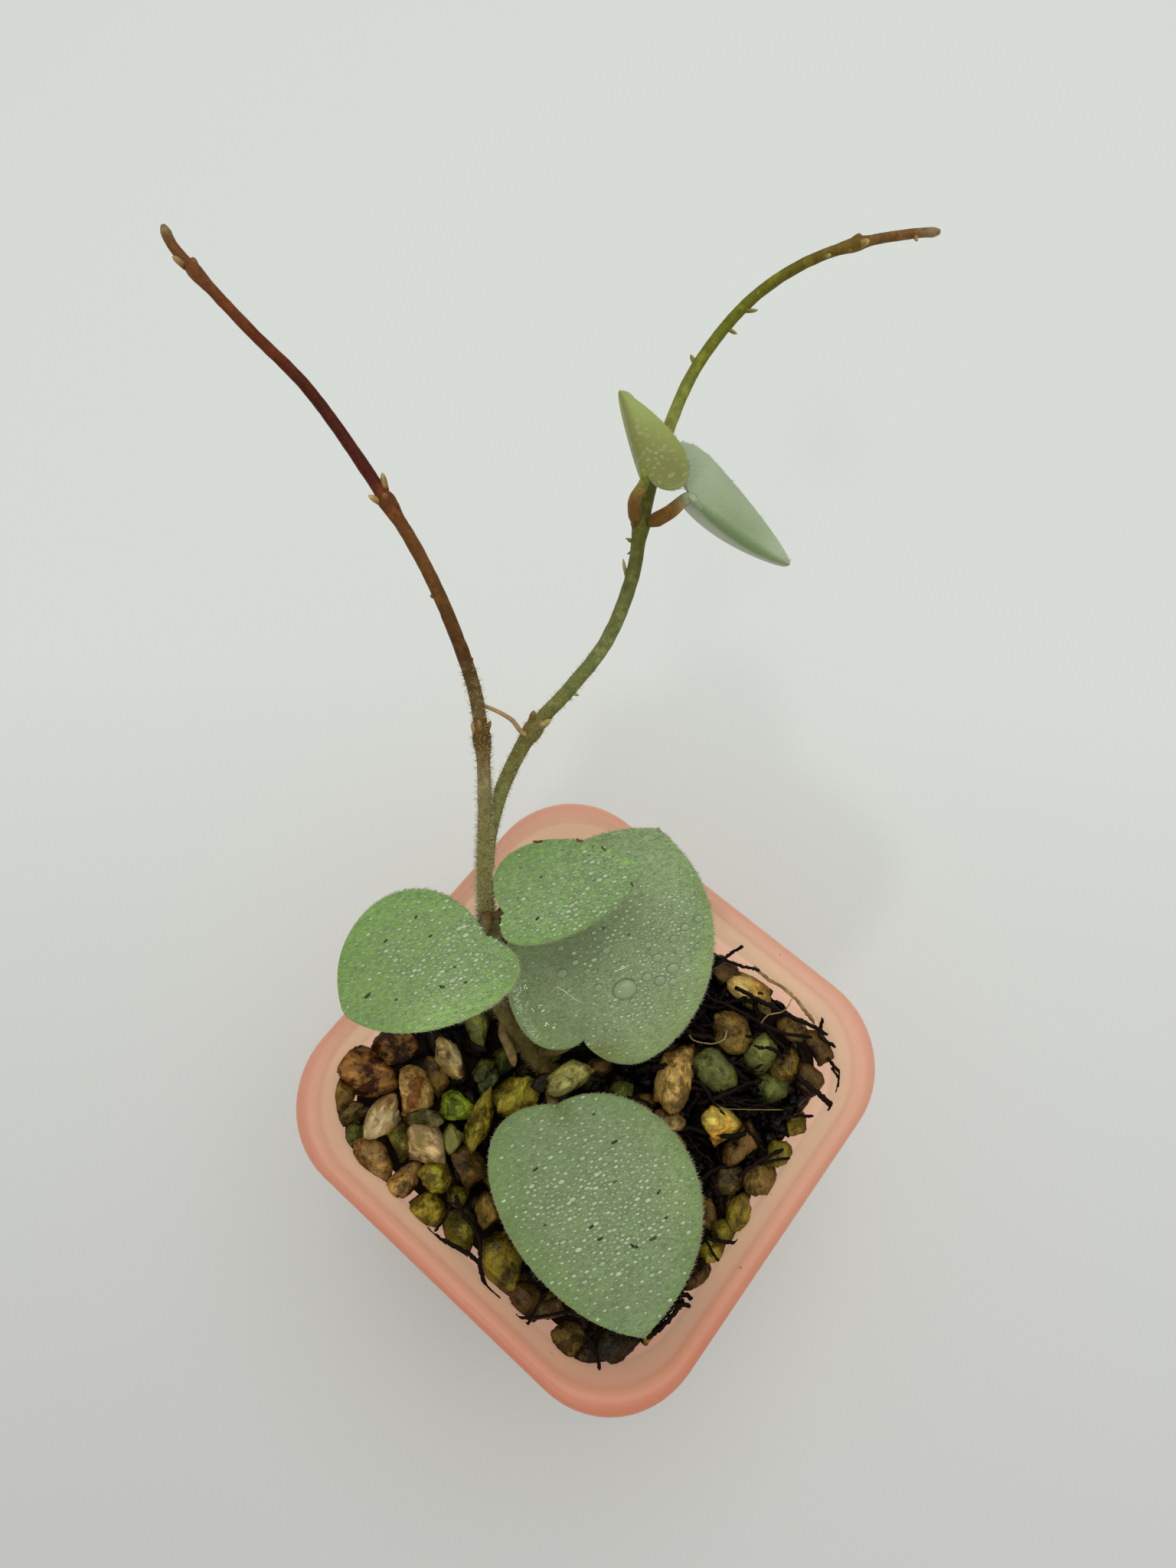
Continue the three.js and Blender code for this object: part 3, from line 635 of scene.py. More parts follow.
# Near-black filling under the stones: painted shade in the gaps between them
def makeGritCore():
    gap, top = gritSizes["coreGap"], gritSizes["coreTop"]
    bottom = potSizes["floor"] + gap
    half = innerHalf(bottom) - gap
    core = startSquare(half, bottom, potSizes["footCorner"] * 0.95, 8)
    extrudeSquare(top - bottom, (innerHalf(top) - gap) / half, top)
    for share in gritSizes["coreRings"]:
        extrudeSquare(0, share, top)
    return finishSquare(core, "grit_core")


def darkMaterial(name, tone, roughness):
    material, tree, shader = newMaterial(name)
    place = objectPlace(tree)
    patches = between(tree, noiseValue(tree, place, 500.0, 4.0), 0.45, 0.8)
    setSockets(tree, shader, {
        "Base Color": mixColour(tree, patches, tone, scaled(tone, 2.5)), "Roughness": roughness,
        "Specular IOR Level": 0.08, "Normal": bump(tree, noiseValue(tree, place, 1800.0), 0.5, 0.3),
    })
    return material


gritDraw = random.Random(gritSizes["seed"])
gritChips = [makeChip(100 + i, 9 + i % 4, 0.14) for i in range(10)]
plainChips = [makeChip(200 + i, 8, 0.24) for i in range(5)]
topStones, lowerStones = Gathered(), Gathered()
placeNamedStones(topStones, gritDraw, gritChips)
scatterStones(topStones, gritDraw, gritChips)
placeLowerStones(lowerStones, gritDraw, plainChips)
wetStone = stoneMaterial()
finishPiece(topStones.piece("grit_stones"), wetStone, "grit_bed")
finishPiece(lowerStones.piece("grit_lower"), wetStone, "grit_bed")
# The near-black filling is painted shade for the gaps between the stones
finishPiece(makeGritCore(), darkMaterial("gap_shade_filling", (0.01, 0.008, 0.006), 0.8), "grit_bed")


print("old roots")
# Roots of the earlier planting that stand out: radius and points along each
namedRoots = [
    (0.26, [(-19.7, -19.2, 46.0), (-18.0, -20.0, 46.0), (-16.0, -20.8, 46.0), (-14.0, -21.6, 46.0),
        (-12.7, -22.6, 46.0)]),
    (0.28, [(-16.3, -15.0, 46.6), (-15.1, -17.0, 46.7), (-13.4, -18.7, 46.8), (-12.5, -20.4, 46.8),
        (-12.4, -22.8, 46.8), (-11.7, -24.5, 46.7), (-10.6, -26.0, 46.5), (-9.6, -26.6, 46.3)]),
    (0.18, [(-16.8, -16.0, 46.2), (-17.4, -17.8, 46.3), (-18.5, -19.3, 46.2)]),
    (0.2, [(-7.6, -28.3, 46.6), (-5.3, -28.1, 46.8), (-2.7, -27.6, 46.8), (-0.8, -27.2, 46.6)]),
    (0.2, [(-6.2, -29.3, 46.4), (-5.0, -26.9, 46.8), (-4.0, -25.2, 46.5)]),
    (0.22, [(1.2, -29.6, 46.5), (2.5, -31.5, 46.7), (3.1, -33.4, 46.6)]),
    (0.24, [(16.3, 15.7, 47.0), (17.2, 16.2, 47.3), (18.6, 17.4, 47.6), (20.6, 18.7, 48.0)]),
    (0.22, [(16.9, 17.1, 46.8), (17.8, 16.8, 47.0), (20.6, 15.9, 47.1), (22.8, 15.5, 47.2)]),
    (0.3, [(19.6, 13.1, 46.4), (22.9, 11.4, 46.8), (26.2, 9.9, 46.9), (29.4, 8.7, 46.8),
        (32.0, 7.4, 46.6)]),
    (0.24, [(15.7, 11.6, 46.0), (19.6, 10.2, 46.6), (22.9, 8.5, 46.7), (26.2, 7.3, 46.7),
        (30.1, 7.0, 46.4)]),
    (0.26, [(31.6, 9.7, 46.6), (31.0, 7.2, 46.8), (33.1, 5.8, 46.8)]),
    (0.24, [(32.0, 4.4, 46.6), (32.8, 3.2, 46.9), (33.8, 2.2, 47.0), (34.7, 0.7, 47.2)]),
    (0.18, [(32.5, 3.1, 46.6), (33.4, 1.8, 46.8), (33.9, 0.0, 46.9)]),
    (0.4, [(27.7, 1.9, 46.4), (28.7, 1.1, 46.8), (30.8, -0.5, 46.9), (33.4, -2.3, 46.8)]),
    (0.22, [(24.8, -3.8, 46.4), (27.5, -3.2, 46.7), (29.9, -3.1, 46.4)]),
    (0.26, [(19.8, -11.0, 46.2), (22.7, -8.9, 46.6), (25.9, -7.3, 46.4)]),
    (0.2, [(22.7, -9.4, 46.4), (24.8, -8.7, 46.6), (26.7, -8.4, 46.4)]),
    (0.24, [(15.7, -18.3, 46.0), (18.0, -18.6, 46.4), (20.3, -18.7, 46.2)]),
    (0.18, [(16.0, -18.7, 46.0), (16.7, -20.0, 46.3), (17.5, -20.9, 46.2)]),
    (0.3, [(6.2, -29.6, 45.0), (9.4, -26.6, 46.2), (12.4, -22.6, 46.2), (14.4, -18.6, 45.4)]),
    (0.3, [(6.9, -30.2, 44.6), (9.9, -27.6, 45.8), (12.6, -24.6, 46.2), (13.6, -22.9, 45.6)]),
    (0.3, [(8.2, -30.3, 44.8), (10.4, -28.7, 45.6), (12.3, -26.6, 45.9), (13.3, -25.4, 45.7)]),
    (0.3, [(9.6, -29.2, 44.9), (11.0, -27.2, 45.8), (12.7, -25.2, 45.9)]),
    (0.3, [(10.3, -27.2, 45.2), (12.2, -25.9, 46.2), (14.0, -26.1, 46.3)]),
    (0.3, [(11.0, -25.4, 45.2), (12.9, -24.8, 46.0), (14.2, -25.2, 46.2)]),
]
# Pale threads among them
paleThreads = [
    (0.1, [(13.3, 6.4, 46.5), (13.8, 5.8, 46.7), (16.3, 5.4, 46.8), (17.9, 6.0, 46.8), (18.5, 7.4, 46.6)]),
    (0.09, [(23.0, 8.4, 46.8), (23.9, 9.5, 47.1), (26.1, 10.2, 47.2), (27.3, 11.9, 47.0)]),
    (0.06, [(17.5, -2.8, 45.8), (21.8, -2.7, 46.2), (26.0, -2.5, 46.0)]),
    (0.26, [(22.2, 16.1, 46.5), (23.6, 14.8, 46.6), (27.0, 12.8, 46.4), (29.1, 10.7, 46.1),
        (30.6, 9.0, 45.5)]),
]
rootTones = {"dead": (0.006, 0.0035, 0.0025), "pale": (0.26, 0.18, 0.065)}
looseRoots = {
    "count": 70, "radius": (0.1, 0.42), "length": (3, 13), "centre": (20, -1), "spread": (11, 16),
    "turn": (-0.35, 0.75), "height": (42.4, 44.6), "arch": 1.1,
}
crumbs = {
    "count": 420, "size": (0.7, 2.2), "height": (41.6, 43.6), "across": (17, 9), "away": (-2, 13), "seed": 6,
    "tones": ((0.006, 0.004, 0.003), (0.012, 0.008, 0.004)),
}


def addRoot(gathered, corners, radius, draw):
    route = smoothRoute(corners, max(8, 6 * len(corners)))
    wobble = np.array([[draw.gauss(0, 0.2 * radius) for _ in range(3)] for _ in route])
    radii = [radius * draw.uniform(0.82, 1.15) for _ in route]
    radii[-1] *= 0.5
    points, faces = rod(route + wobble, radii, 8)
    gathered.add(pressedInside(points), faces)


def addLooseRoots(gathered, draw):
    placed = 0
    while placed < looseRoots["count"]:
        x, y = (
            middle + draw.uniform(-1, 1) * spread
            for middle, spread in zip(looseRoots["centre"], looseRoots["spread"])
        )
        angle, reach = draw.gauss(*looseRoots["turn"]), draw.uniform(*looseRoots["length"]) / 2
        across, away = reach * math.cos(angle), reach * math.sin(angle)
        if not all(insidePot(x + side * across, y + side * away, 1.2) for side in (-1, 1)):
            continue
        placed += 1
        height, stray = draw.uniform(*looseRoots["height"]), min(0.12 * reach, 0.8)
        corners = []
        for share in (-1, -0.5, 0, 0.5, 1):
            corners.append((
                x + share * across + draw.uniform(-stray, stray),
                y + share * away + draw.uniform(-stray, stray),
                height + looseRoots["arch"] * (1 - share * share) + draw.uniform(-0.3, 0.3),
            ))
        addRoot(gathered, corners, draw.uniform(*looseRoots["radius"]), draw)


def makeRoots(name, roots, seed, withLoose):
    draw = random.Random(seed)
    gathered = Gathered()
    for radius, corners in roots:
        addRoot(gathered, corners, radius, draw)
    if withLoose:
        addLooseRoots(gathered, draw)
    return gathered.piece(name)


# Black crumbs of rotted roots that fill the gaps on the right
def makeCrumbs():
    draw = random.Random(crumbs["seed"])
    chip = makeChip(300, 6, 0.5)
    gathered = Gathered()
    while gathered.count < crumbs["count"] * len(chip[0]):
        x, y = draw.gauss(*crumbs["across"]), draw.gauss(*crumbs["away"])
        if insidePot(x, y, 1.4):
            sizes = [draw.uniform(*crumbs["size"]) for _ in range(3)]
            place = (x, y, draw.uniform(*crumbs["height"]))
            addStone(gathered, draw, chip, place, sizes, draw.uniform(0, 360), crumbs["tones"], 0.6)
    return gathered.piece("dark_crumbs")


deadRoot = darkMaterial("dead_root", rootTones["dead"], 0.55)
paleThread = darkMaterial("pale_thread", rootTones["pale"], 0.6)
finishPiece(makeCrumbs(), wetStone, "grit_bed")
finishPiece(makeRoots("old_roots", namedRoots, 5, True), deadRoot, "grit_bed")
finishPiece(makeRoots("pale_threads", paleThreads, 9, False), paleThread, "grit_bed")


print("vine")
leftRoute = [
    (-3.6, -0.8, 31.0), (-4.3, -0.2, 37.0), (-5.6, 0.9, 41.8), (-8.1, 3.6, 45.2), (-10.6, 6.4, 48.8),
    (-12.3, 9.3, 51.4), (-12.9, 12.8, 58.4), (-13.1, 15.8, 66.4), (-13.4, 20.3, 72.0), (-13.4, 27.9, 79.4),
    (-13.8, 33.0, 83.5), (-14.7, 37.3, 86.8), (-17.4, 43.1, 91.2), (-20.2, 47.7, 94.5), (-23.9, 52.4, 97.7),
    (-31.4, 60.7, 102.8), (-36.7, 64.7, 105.5), (-42.0, 69.1, 108.0), (-44.2, 71.2, 109.0),
    (-45.1, 72.8, 109.5),
]
rightRoute = [
    (-13.2, 21.4, 73.0), (-12.9, 24.9, 75.4), (-11.4, 29.8, 79.0), (-8.4, 34.7, 83.0), (-4.6, 38.2, 86.4),
    (-1.1, 42.1, 89.9), (1.1, 47.6, 93.3), (1.8, 52.9, 95.5), (3.6, 61.2, 97.2), (6.6, 69.0, 99.7),
    (11.6, 75.1, 102.6), (16.7, 78.3, 104.5), (22.1, 80.3, 105.5), (27.7, 81.6, 105.9), (30.3, 81.9, 106.0),
]
aerialRoute = [
    (-8.6, 34.0, 82.7), (-9.6, 34.0, 83.6), (-10.6, 34.8, 84.7), (-11.5, 35.3, 84.9), (-12.7, 35.9, 84.8),
    (-13.9, 36.1, 85.4),
]
baseNub = [(-11.6, 6.3, 49.2), (-11.7, 5.1, 49.2), (-11.0, 3.8, 48.8), (-10.3, 2.4, 48.2), (-9.9, 1.1, 47.6)]
# Radii evenly along each shoot, and its nodes by share of its length; the twigs' radii with their own shares
vineSizes = {
    "leftRadii": [1.35, 1.28, 1.2, 1.02, 0.82, 0.72, 0.74, 0.68, 0.62, 0.56, 0.5],
    "leftNodes": [0.338, 0.534, 0.742, 0.959],
    "rightRadii": [0.8, 0.8, 0.74, 0.7, 0.62, 0.55, 0.45], "rightNodes": [0.197, 0.48, 0.906],
    "swelling": 0.4, "swellingBelow": 1.5, "swellingAbove": 0.7, "sides": 20, "perMm": 3.0,
    "lumps": 0.07, "fineLumps": 0.035, "growthSides": 8, "hairRadius": 0.034,
    "aerialRadii": ([0, 1], [0.3, 0.2]),
    "nubRadii": ([0, 0.3, 0.7, 0.9, 1], [0.62, 0.62, 0.682, 0.496, 0.186]),
}
# Bark tones by share of each shoot's length
leftBark = [
    (0.0, (0.1, 0.085, 0.022)), (0.26, (0.14, 0.115, 0.03)), (0.33, (0.15, 0.11, 0.04)),
    (0.36, (0.2, 0.18, 0.045)), (0.42, (0.23, 0.205, 0.05)), (0.5, (0.25, 0.2, 0.085)),
    (0.524, (0.17, 0.1, 0.025)), (0.537, (0.11, 0.055, 0.01)), (0.556, (0.15, 0.1, 0.032)),
    (0.61, (0.085, 0.036, 0.007)), (0.69, (0.15, 0.06, 0.011)), (0.735, (0.15, 0.048, 0.01)),
    (0.76, (0.075, 0.01, 0.003)), (0.84, (0.072, 0.012, 0.0015)), (0.9, (0.13, 0.027, 0.003)),
    (0.985, (0.17, 0.07, 0.017)), (1.0, (0.22, 0.16, 0.07)),
]
rightBark = [
    (0.0, (0.16, 0.16, 0.04)), (0.1, (0.2, 0.2, 0.055)), (0.19, (0.17, 0.14, 0.035)),
    (0.266, (0.17, 0.18, 0.05)), (0.336, (0.18, 0.2, 0.06)), (0.426, (0.11, 0.113, 0.025)),
    (0.461, (0.122, 0.122, 0.02)), (0.5, (0.14, 0.145, 0.025)), (0.61, (0.25, 0.265, 0.047)),
    (0.674, (0.16, 0.166, 0.016)), (0.737, (0.147, 0.16, 0.01)), (0.89, (0.137, 0.085, 0.01)),
    (0.92, (0.17, 0.09, 0.02)), (0.97, (0.19, 0.09, 0.025)), (1.0, (0.36, 0.25, 0.12)),
]
scarTone, budTone, rootletTone = (0.5, 0.36, 0.13), (0.24, 0.13, 0.04), (0.34, 0.25, 0.08)
# Growths on a shoot: share along it, degrees round it from its right side over its top, degrees of lean
# toward the tip, length beyond the bark, radius at the root, bend toward the tip, tone
leftGrowths = [
    (0.524, 172, 74, 0.0, 0.5, 0.0, scarTone), (0.532, 10, 58, 0.25, 0.32, 0.2, budTone),
    (0.742, 20, 62, 0.55, 0.42, 0.1, scarTone), (0.738, 168, 46, 0.6, 0.42, 0.3, scarTone),
    (0.955, 165, 74, 0.1, 0.4, 0.0, scarTone), (0.957, 10, 60, 0.0, 0.4, 0.1, budTone),
    (0.658, 180, 20, 0.2, 0.35, 0.0, budTone), (0.6, 0, 10, 0.1, 0.3, 0.0, budTone),
    (0.53, 95, 70, 0.0, 0.4, 0.0, budTone), (0.735, 90, 60, 0.0, 0.45, 0.0, budTone),
]
rightGrowths = [
    (0.19, 140, 64, 0.15, 0.5, 0.1, budTone), (0.193, 25, 62, 0.35, 0.5, 0.1, scarTone),
    (0.263, 0, 5, 0.5, 0.2, 0.3, rootletTone), (0.407, 180, 50, 1.1, 0.24, 0.3, scarTone),
    (0.456, 180, 0, 0.6, 0.2, 0.1, rootletTone), (0.449, 197, -40, 0.4, 0.16, 0.1, rootletTone),
    (0.462, 165, 42, 0.4, 0.16, 0.1, rootletTone), (0.453, 205, 10, 0.5, 0.15, 0.1, rootletTone),
    (0.677, 180, 15, 0.65, 0.28, 0.3, rootletTone), (0.732, 0, -15, 0.9, 0.24, 0.3, rootletTone),
    (0.756, 0, 25, 0.9, 0.25, 0.3, rootletTone), (0.9, 40, 60, 0.25, 0.45, 0.0, scarTone),
    (0.897, 160, 58, 0.2, 0.5, 0.1, budTone), (0.89, 0, 40, 0.1, 0.4, 0.0, budTone),
    (0.971, 0, 0, 0.6, 0.24, 0.1, rootletTone), (0.86, 20, 60, 0.1, 0.3, 0.0, scarTone),
]
aerialBark = [(0.0, (0.42, 0.27, 0.12))]
nubBark = [(0.0, (0.15, 0.11, 0.035)), (1.0, (0.24, 0.15, 0.055))]


# The tone at a share of the length, or a row of tones for an array of shares
def alongTone(stops, share):
    places = [place for place, _ in stops]
    channels = [np.interp(share, places, [tone[channel] for _, tone in stops]) for channel in range(3)]
    return np.stack([*channels, np.ones_like(channels[0])], -1)


def shootRadius(radii, nodes, length, share):
    radius = np.interp(share * (len(radii) - 1), range(len(radii)), radii)
    for node in nodes:
        away = (share - node) * length
        away /= vineSizes["swellingBelow"] if away < 0 else vineSizes["swellingAbove"]
        radius *= 1 + vineSizes["swelling"] * math.exp(-away * away)
    return radius


# A growth bends from its lean toward the shoot's tip and sits with its root inside the bark
def growthRoute(route, radius, growth):
    share, turn, lean, length, _, bend, _ = growth
    spot = share * (len(route) - 1)
    index = min(int(spot), len(route) - 2)
    along = route[index + 1] - route[index]
    centre = route[index] + along * (spot - index)
    along = along / np.linalg.norm(along)
    right = np.cross(along, (0, 0, 1.0))
    right /= np.linalg.norm(right)
    over = np.cross(right, along)
    angle, tilt = math.radians(turn), math.radians(lean)
    out = right * math.cos(angle) + over * math.sin(angle)
    direction = out * math.cos(tilt) + along * math.sin(tilt)
    inBark = 0.5 * radius / math.cos(tilt)
    steps = np.linspace(0, 1, 9)[:, None]
    return centre + direction * inBark + (inBark + length) * (direction * steps + along * bend * steps ** 2)


def addRod(gathered, route, radii, sides, tones):
    gathered.add(*rod(route, radii, sides), bark=np.repeat(tones, sides, axis=0))


def addShoot(gathered, side, corners, bark, growths, seed):
    radii, nodes = vineSizes[side + "Radii"], vineSizes[side + "Nodes"]
    length = runOf(smoothRoute(corners, 400))[-1]
    count, sides = int(length * vineSizes["perMm"]), vineSizes["sides"]
    route, shares = smoothRoute(corners, count), np.linspace(0, 1, count)

    def radiusAt(share):
        return shootRadius(radii, nodes, length, share)

    rings = np.zeros((count, sides))
    for i, share in enumerate(shares):
        for j in range(sides):
            angle = 2 * math.pi * j / sides
            spot = Vector((2.2 * math.cos(angle), 2.2 * math.sin(angle), share * length * 0.9 + seed))
            lumps = vineSizes["lumps"] * noise.noise(spot) + vineSizes["fineLumps"] * noise.noise(spot * 3)
            rings[i, j] = radiusAt(share) * (1 + lumps)
    rings[0] *= 0.7
    rings[-1] *= 0.55
    rings[-2] *= 0.85
    addRod(gathered, route, rings, sides, alongTone(bark, shares))
    for growth in growths:
        share, *_, radius, _, tone = growth
        path = growthRoute(route, radiusAt(share), growth)
        tones = alongTone([(0, alongTone(bark, share)), (1, tone)], np.linspace(0, 1, len(path)))
        addRod(gathered, path, blunt(path, radius), vineSizes["growthSides"], tones)
    return route, radiusAt


def makeVine():
    gathered = Gathered()
    left = addShoot(gathered, "left", leftRoute, leftBark, leftGrowths, 1)
    right = addShoot(gathered, "right", rightRoute, rightBark, rightGrowths, 2)
    twigs = (
        (aerialRoute, vineSizes["aerialRadii"], 24, 8, aerialBark),
        (baseNub, vineSizes["nubRadii"], 20, 10, nubBark),
    )
    for corners, radii, count, sides, bark in twigs:
        shares = np.linspace(0, 1, count)
        route = smoothRoute(corners, count)
        addRod(gathered, route, np.interp(shares, *radii), sides, alongTone(bark, shares))
    return gathered.piece("vine_shoots"), left, right


def barkMaterial(name):
    material, tree, shader = newMaterial(name)
    place = objectPlace(tree)
    mottled = noiseValue(tree, place, 800.0, 4.0, 0.65)
    paler = between(tree, mottled, 0.5, 0.66, 0.0, 0.7)
    tone = mixColour(tree, paler, attribute(tree, "bark", "Color"), (1.8, 1.8, 1.9), "MULTIPLY")
    dark = noiseValue(tree, place, 1500.0)
    darker = between(tree, dark, 0.5, 0.68, 0.0, 0.5)
    setSockets(tree, shader, {
        "Base Color": mixColour(tree, darker, tone, (0.5, 0.4, 0.3), "MULTIPLY"),
        "Roughness": between(tree, mottled, 0.3, 0.7, 0.42, 0.6), "Specular IOR Level": 0.12,
        "Normal": bump(tree, combined(tree, mottled, dark, "ADD"), 0.5, 0.2),
    })
    return material


def downMaterial(name, tone):
    material, tree, shader = newMaterial(name)
    patches = noiseValue(tree, objectPlace(tree), 700.0, 2.0)
    setSockets(tree, shader, {
        "Base Color": mixColour(tree, patches, tone, scaled(tone, 0.75)), "Roughness": 0.6,
    })
    return material


# Hairs of the older bark. Each stretch: share along the shoot from and to, hairs, shortest and longest
downStretches = {
    "pale": [
        ("left", 0.2, 0.6, 5200, 0.35, 0.8), ("left", 0.32, 0.46, 2600, 0.4, 0.9),
        ("right", 0.0, 0.32, 1500, 0.3, 0.6),
    ],
    "brown": [("left", 0.04, 0.26, 2200, 0.5, 1.1), ("left", 0.3, 0.375, 650, 0.6, 1.5)],
}
stemHairs = {"pale": ("stem_hair", (0.68, 0.63, 0.33)), "brown": ("brown_hair", (0.34, 0.24, 0.09))}


def makeStemDown(kind, shoots):
    draw = np.random.default_rng(3)
    roots, directions, lengths = [], [], []
    for shoot, first, last, count, shortest, longest in downStretches[kind]:
        route, radiusAt = shoots[shoot]
        along, side, over = routeFrames(route)
        shares = draw.uniform(first, last, count)
        fade = (shares - first) / (last - first)
        for share in shares[draw.random(count) > 0.8 * fade ** 3]:
            index = int(share * (len(route) - 1))
            angle = draw.uniform(0, 2 * math.pi)
            out = side[index] * math.cos(angle) + over[index] * math.sin(angle)
            roots.append(route[index] + out * 0.92 * radiusAt(share))
            directions.append(out + along[index] * draw.uniform(-0.5, 1.1) + draw.normal(0, 0.3, 3))
            lengths.append(draw.uniform(shortest, longest))
    hairs = spikes(np.array(roots), np.array(directions), np.array(lengths), vineSizes["hairRadius"])
    return meshPiece(f"stem_down_{kind}", *hairs, {})


vine, leftShoot, rightShoot = makeVine()
finishPiece(vine, barkMaterial("vine_bark"), "vine_stem")
for kind, hairFinish in stemHairs.items():
    down = makeStemDown(kind, {"left": leftShoot, "right": rightShoot})
    finishPiece(down, downMaterial(*hairFinish), "vine_stem")


print("leaves")
bladeSizes = {
    "thickness": 0.9, "thinner": 0.35, "marginFrom": 0.955, "marginShares": [0.975, 0.99, 0.997, 1.0],
    "endRound": 0.03, "keel": 0.7, "dimple": 0.3, "wave": 0.16, "alongSteps": 72, "acrossSteps": 22,
    "weld": 0.002,
}
# Every leaf: base is where the blade meets its stalk. heading, rise and roll turn it. left and right are the
# handles of the curve of each half's edge. fold raises both halves, cup lowers the margins, droop the tip.
# bow bends the midrib of a folded leaf. drops: spacing of the small drops. downs: hairs on the upper face.
# The tint multiplies the leaf's tones; it is partly the leaf's own tone and partly painted light and shade.
leafSizes = {
    "front": {
        "base": (-4.0, -3.3, 51.2), "heading": -64.9, "rise": 8, "roll": 0, "length": 27.6,
        "left": (-1.2, 13.0, 20.6, 21.4), "right": (-6.8, 15.9, 20.5, 13.8), "fold": 0, "cup": 0.8,
        "droop": 1.4, "stalkRadius": 0.8,
        "stalk": [(-5.95, 0.95, 44.45), (-5.1, -1.4, 45.6), (-4.2, -4.0, 48.4)], "drops": 0.5,
        "downs": 4800, "seed": 11, "finish": "grown", "tintAndShade": (0.85, 0.85, 0.69),
    },
    "back": {
        "base": (-1.0, 4.4, 52.4), "heading": 72.6, "rise": 23, "roll": 8, "length": 29.1,
        "left": (-11.4, 10.0, 21.9, 25.0), "right": (-8.2, 12.4, 21.4, 21.0), "fold": 0, "cup": 0.8,
        "droop": 1.0, "stalkRadius": 0.8, "stalk": [(-6.2, 3.3, 46.2), (-4.0, 3.6, 49.2)], "drops": 0.55,
        "downs": 4800, "seed": 12, "finish": "grown", "tintAndShade": (1.13, 1.06, 0.99),
    },
    "left": {
        "base": (-12.8, 14.2, 71.0), "heading": -148.9, "rise": -6, "roll": 0, "length": 18.2,
        "left": (-8.7, 9.7, 13.8, 9.6), "right": (0.5, 13.2, 17.1, 13.0), "fold": 0, "cup": 0.6,
        "droop": 1.2, "stalkRadius": 0.7, "stalk": [(-13.15, 17.2, 68.9), (-12.95, 15.9, 70.2)],
        "drops": 0.5, "downs": 3200, "seed": 13, "finish": "young", "tintAndShade": (1.01, 0.985, 0.75),
    },
    "middle": {
        "base": (-10.9, 16.5, 72.5), "heading": 19.8, "rise": 8.5, "roll": 10, "length": 16.6,
        "left": (-2.6, 8.9, 10.9, 8.6), "right": (-4.8, 6.0, 11.7, 6.4), "fold": 0, "cup": 0.8,
        "droop": 0.8, "stalkRadius": 0.48, "stalk": [(-12.7, 16.6, 69.2)], "drops": 0.5, "downs": 2600,
        "seed": 14, "finish": "young", "tintAndShade": (1.06, 1.04, 0.82),
    },
    "upper_right": {
        "base": (6.2, 53.7, 99.0), "heading": -18.0, "rise": -24.7, "roll": -116.8, "length": 12.7,
        "left": (-2.0, 5.5, 6.2, 7.4), "right": (-11.0, 7.1, 5.9, 6.2), "fold": 55, "cup": 0, "bow": 1.4,
        "droop": 0, "stalkRadius": 0.7, "stalk": [(3.2, 52.4, 96.6), (4.4, 52.7, 97.5)], "downs": 1200,
        "seed": 15, "finish": "under", "tintAndShade": (1.13, 1.1, 1.14),
    },
    "upper_left": {
        "base": (1.8, 53.2, 102.2), "heading": 104.5, "rise": -6.0, "roll": 130, "length": 11.4,
        "left": (-5.8, 1.9, -1.2, 8.9), "right": (-1.0, 1.6, 3.0, 3.4), "fold": 47, "cup": 0, "bow": 0,
        "droop": 0, "stalkRadius": 0.6, "stalk": [(1.0, 52.4, 96.8), (0.8, 52.8, 98.9), (1.5, 53.2, 100.9)],
        "downs": 800, "seed": 16, "finish": "newest", "tintAndShade": (0.83, 0.84, 0.53),
    },
}
# The youngest leaf's other half shows as a small flap behind its tip
tipFlap = {
    "base": (-1.2, 64.4, 100.9), "heading": -50.0, "rise": 6.0, "roll": -25, "length": 2.6,
    "left": (0.3, 1.0, 1.7, 1.0), "right": (0.3, 0.7, 1.7, 0.6), "fold": 0, "cup": 0, "droop": 0.3,
    "seed": 17, "thickness": 0.3,
}
# The upper face, the margin and the underside; a folded leaf shows its keel too
leafTones = {
    "grown": {"top": (0.22, 0.31, 0.14), "rim": (0.3, 0.36, 0.15), "under": (0.33, 0.38, 0.22)},
    "young": {"top": (0.21, 0.345, 0.125), "rim": (0.34, 0.44, 0.16), "under": (0.33, 0.42, 0.2)},
    "under": {
        "top": (0.24, 0.34, 0.16), "rim": (0.42, 0.47, 0.3), "under": (0.34, 0.42, 0.245),
        "keel": (0.17, 0.25, 0.09),
    },
    "newest": {
        "top": (0.28, 0.34, 0.1), "rim": (0.45, 0.5, 0.25), "under": (0.32, 0.36, 0.1),
        "keel": (0.26, 0.24, 0.06),
    },
}
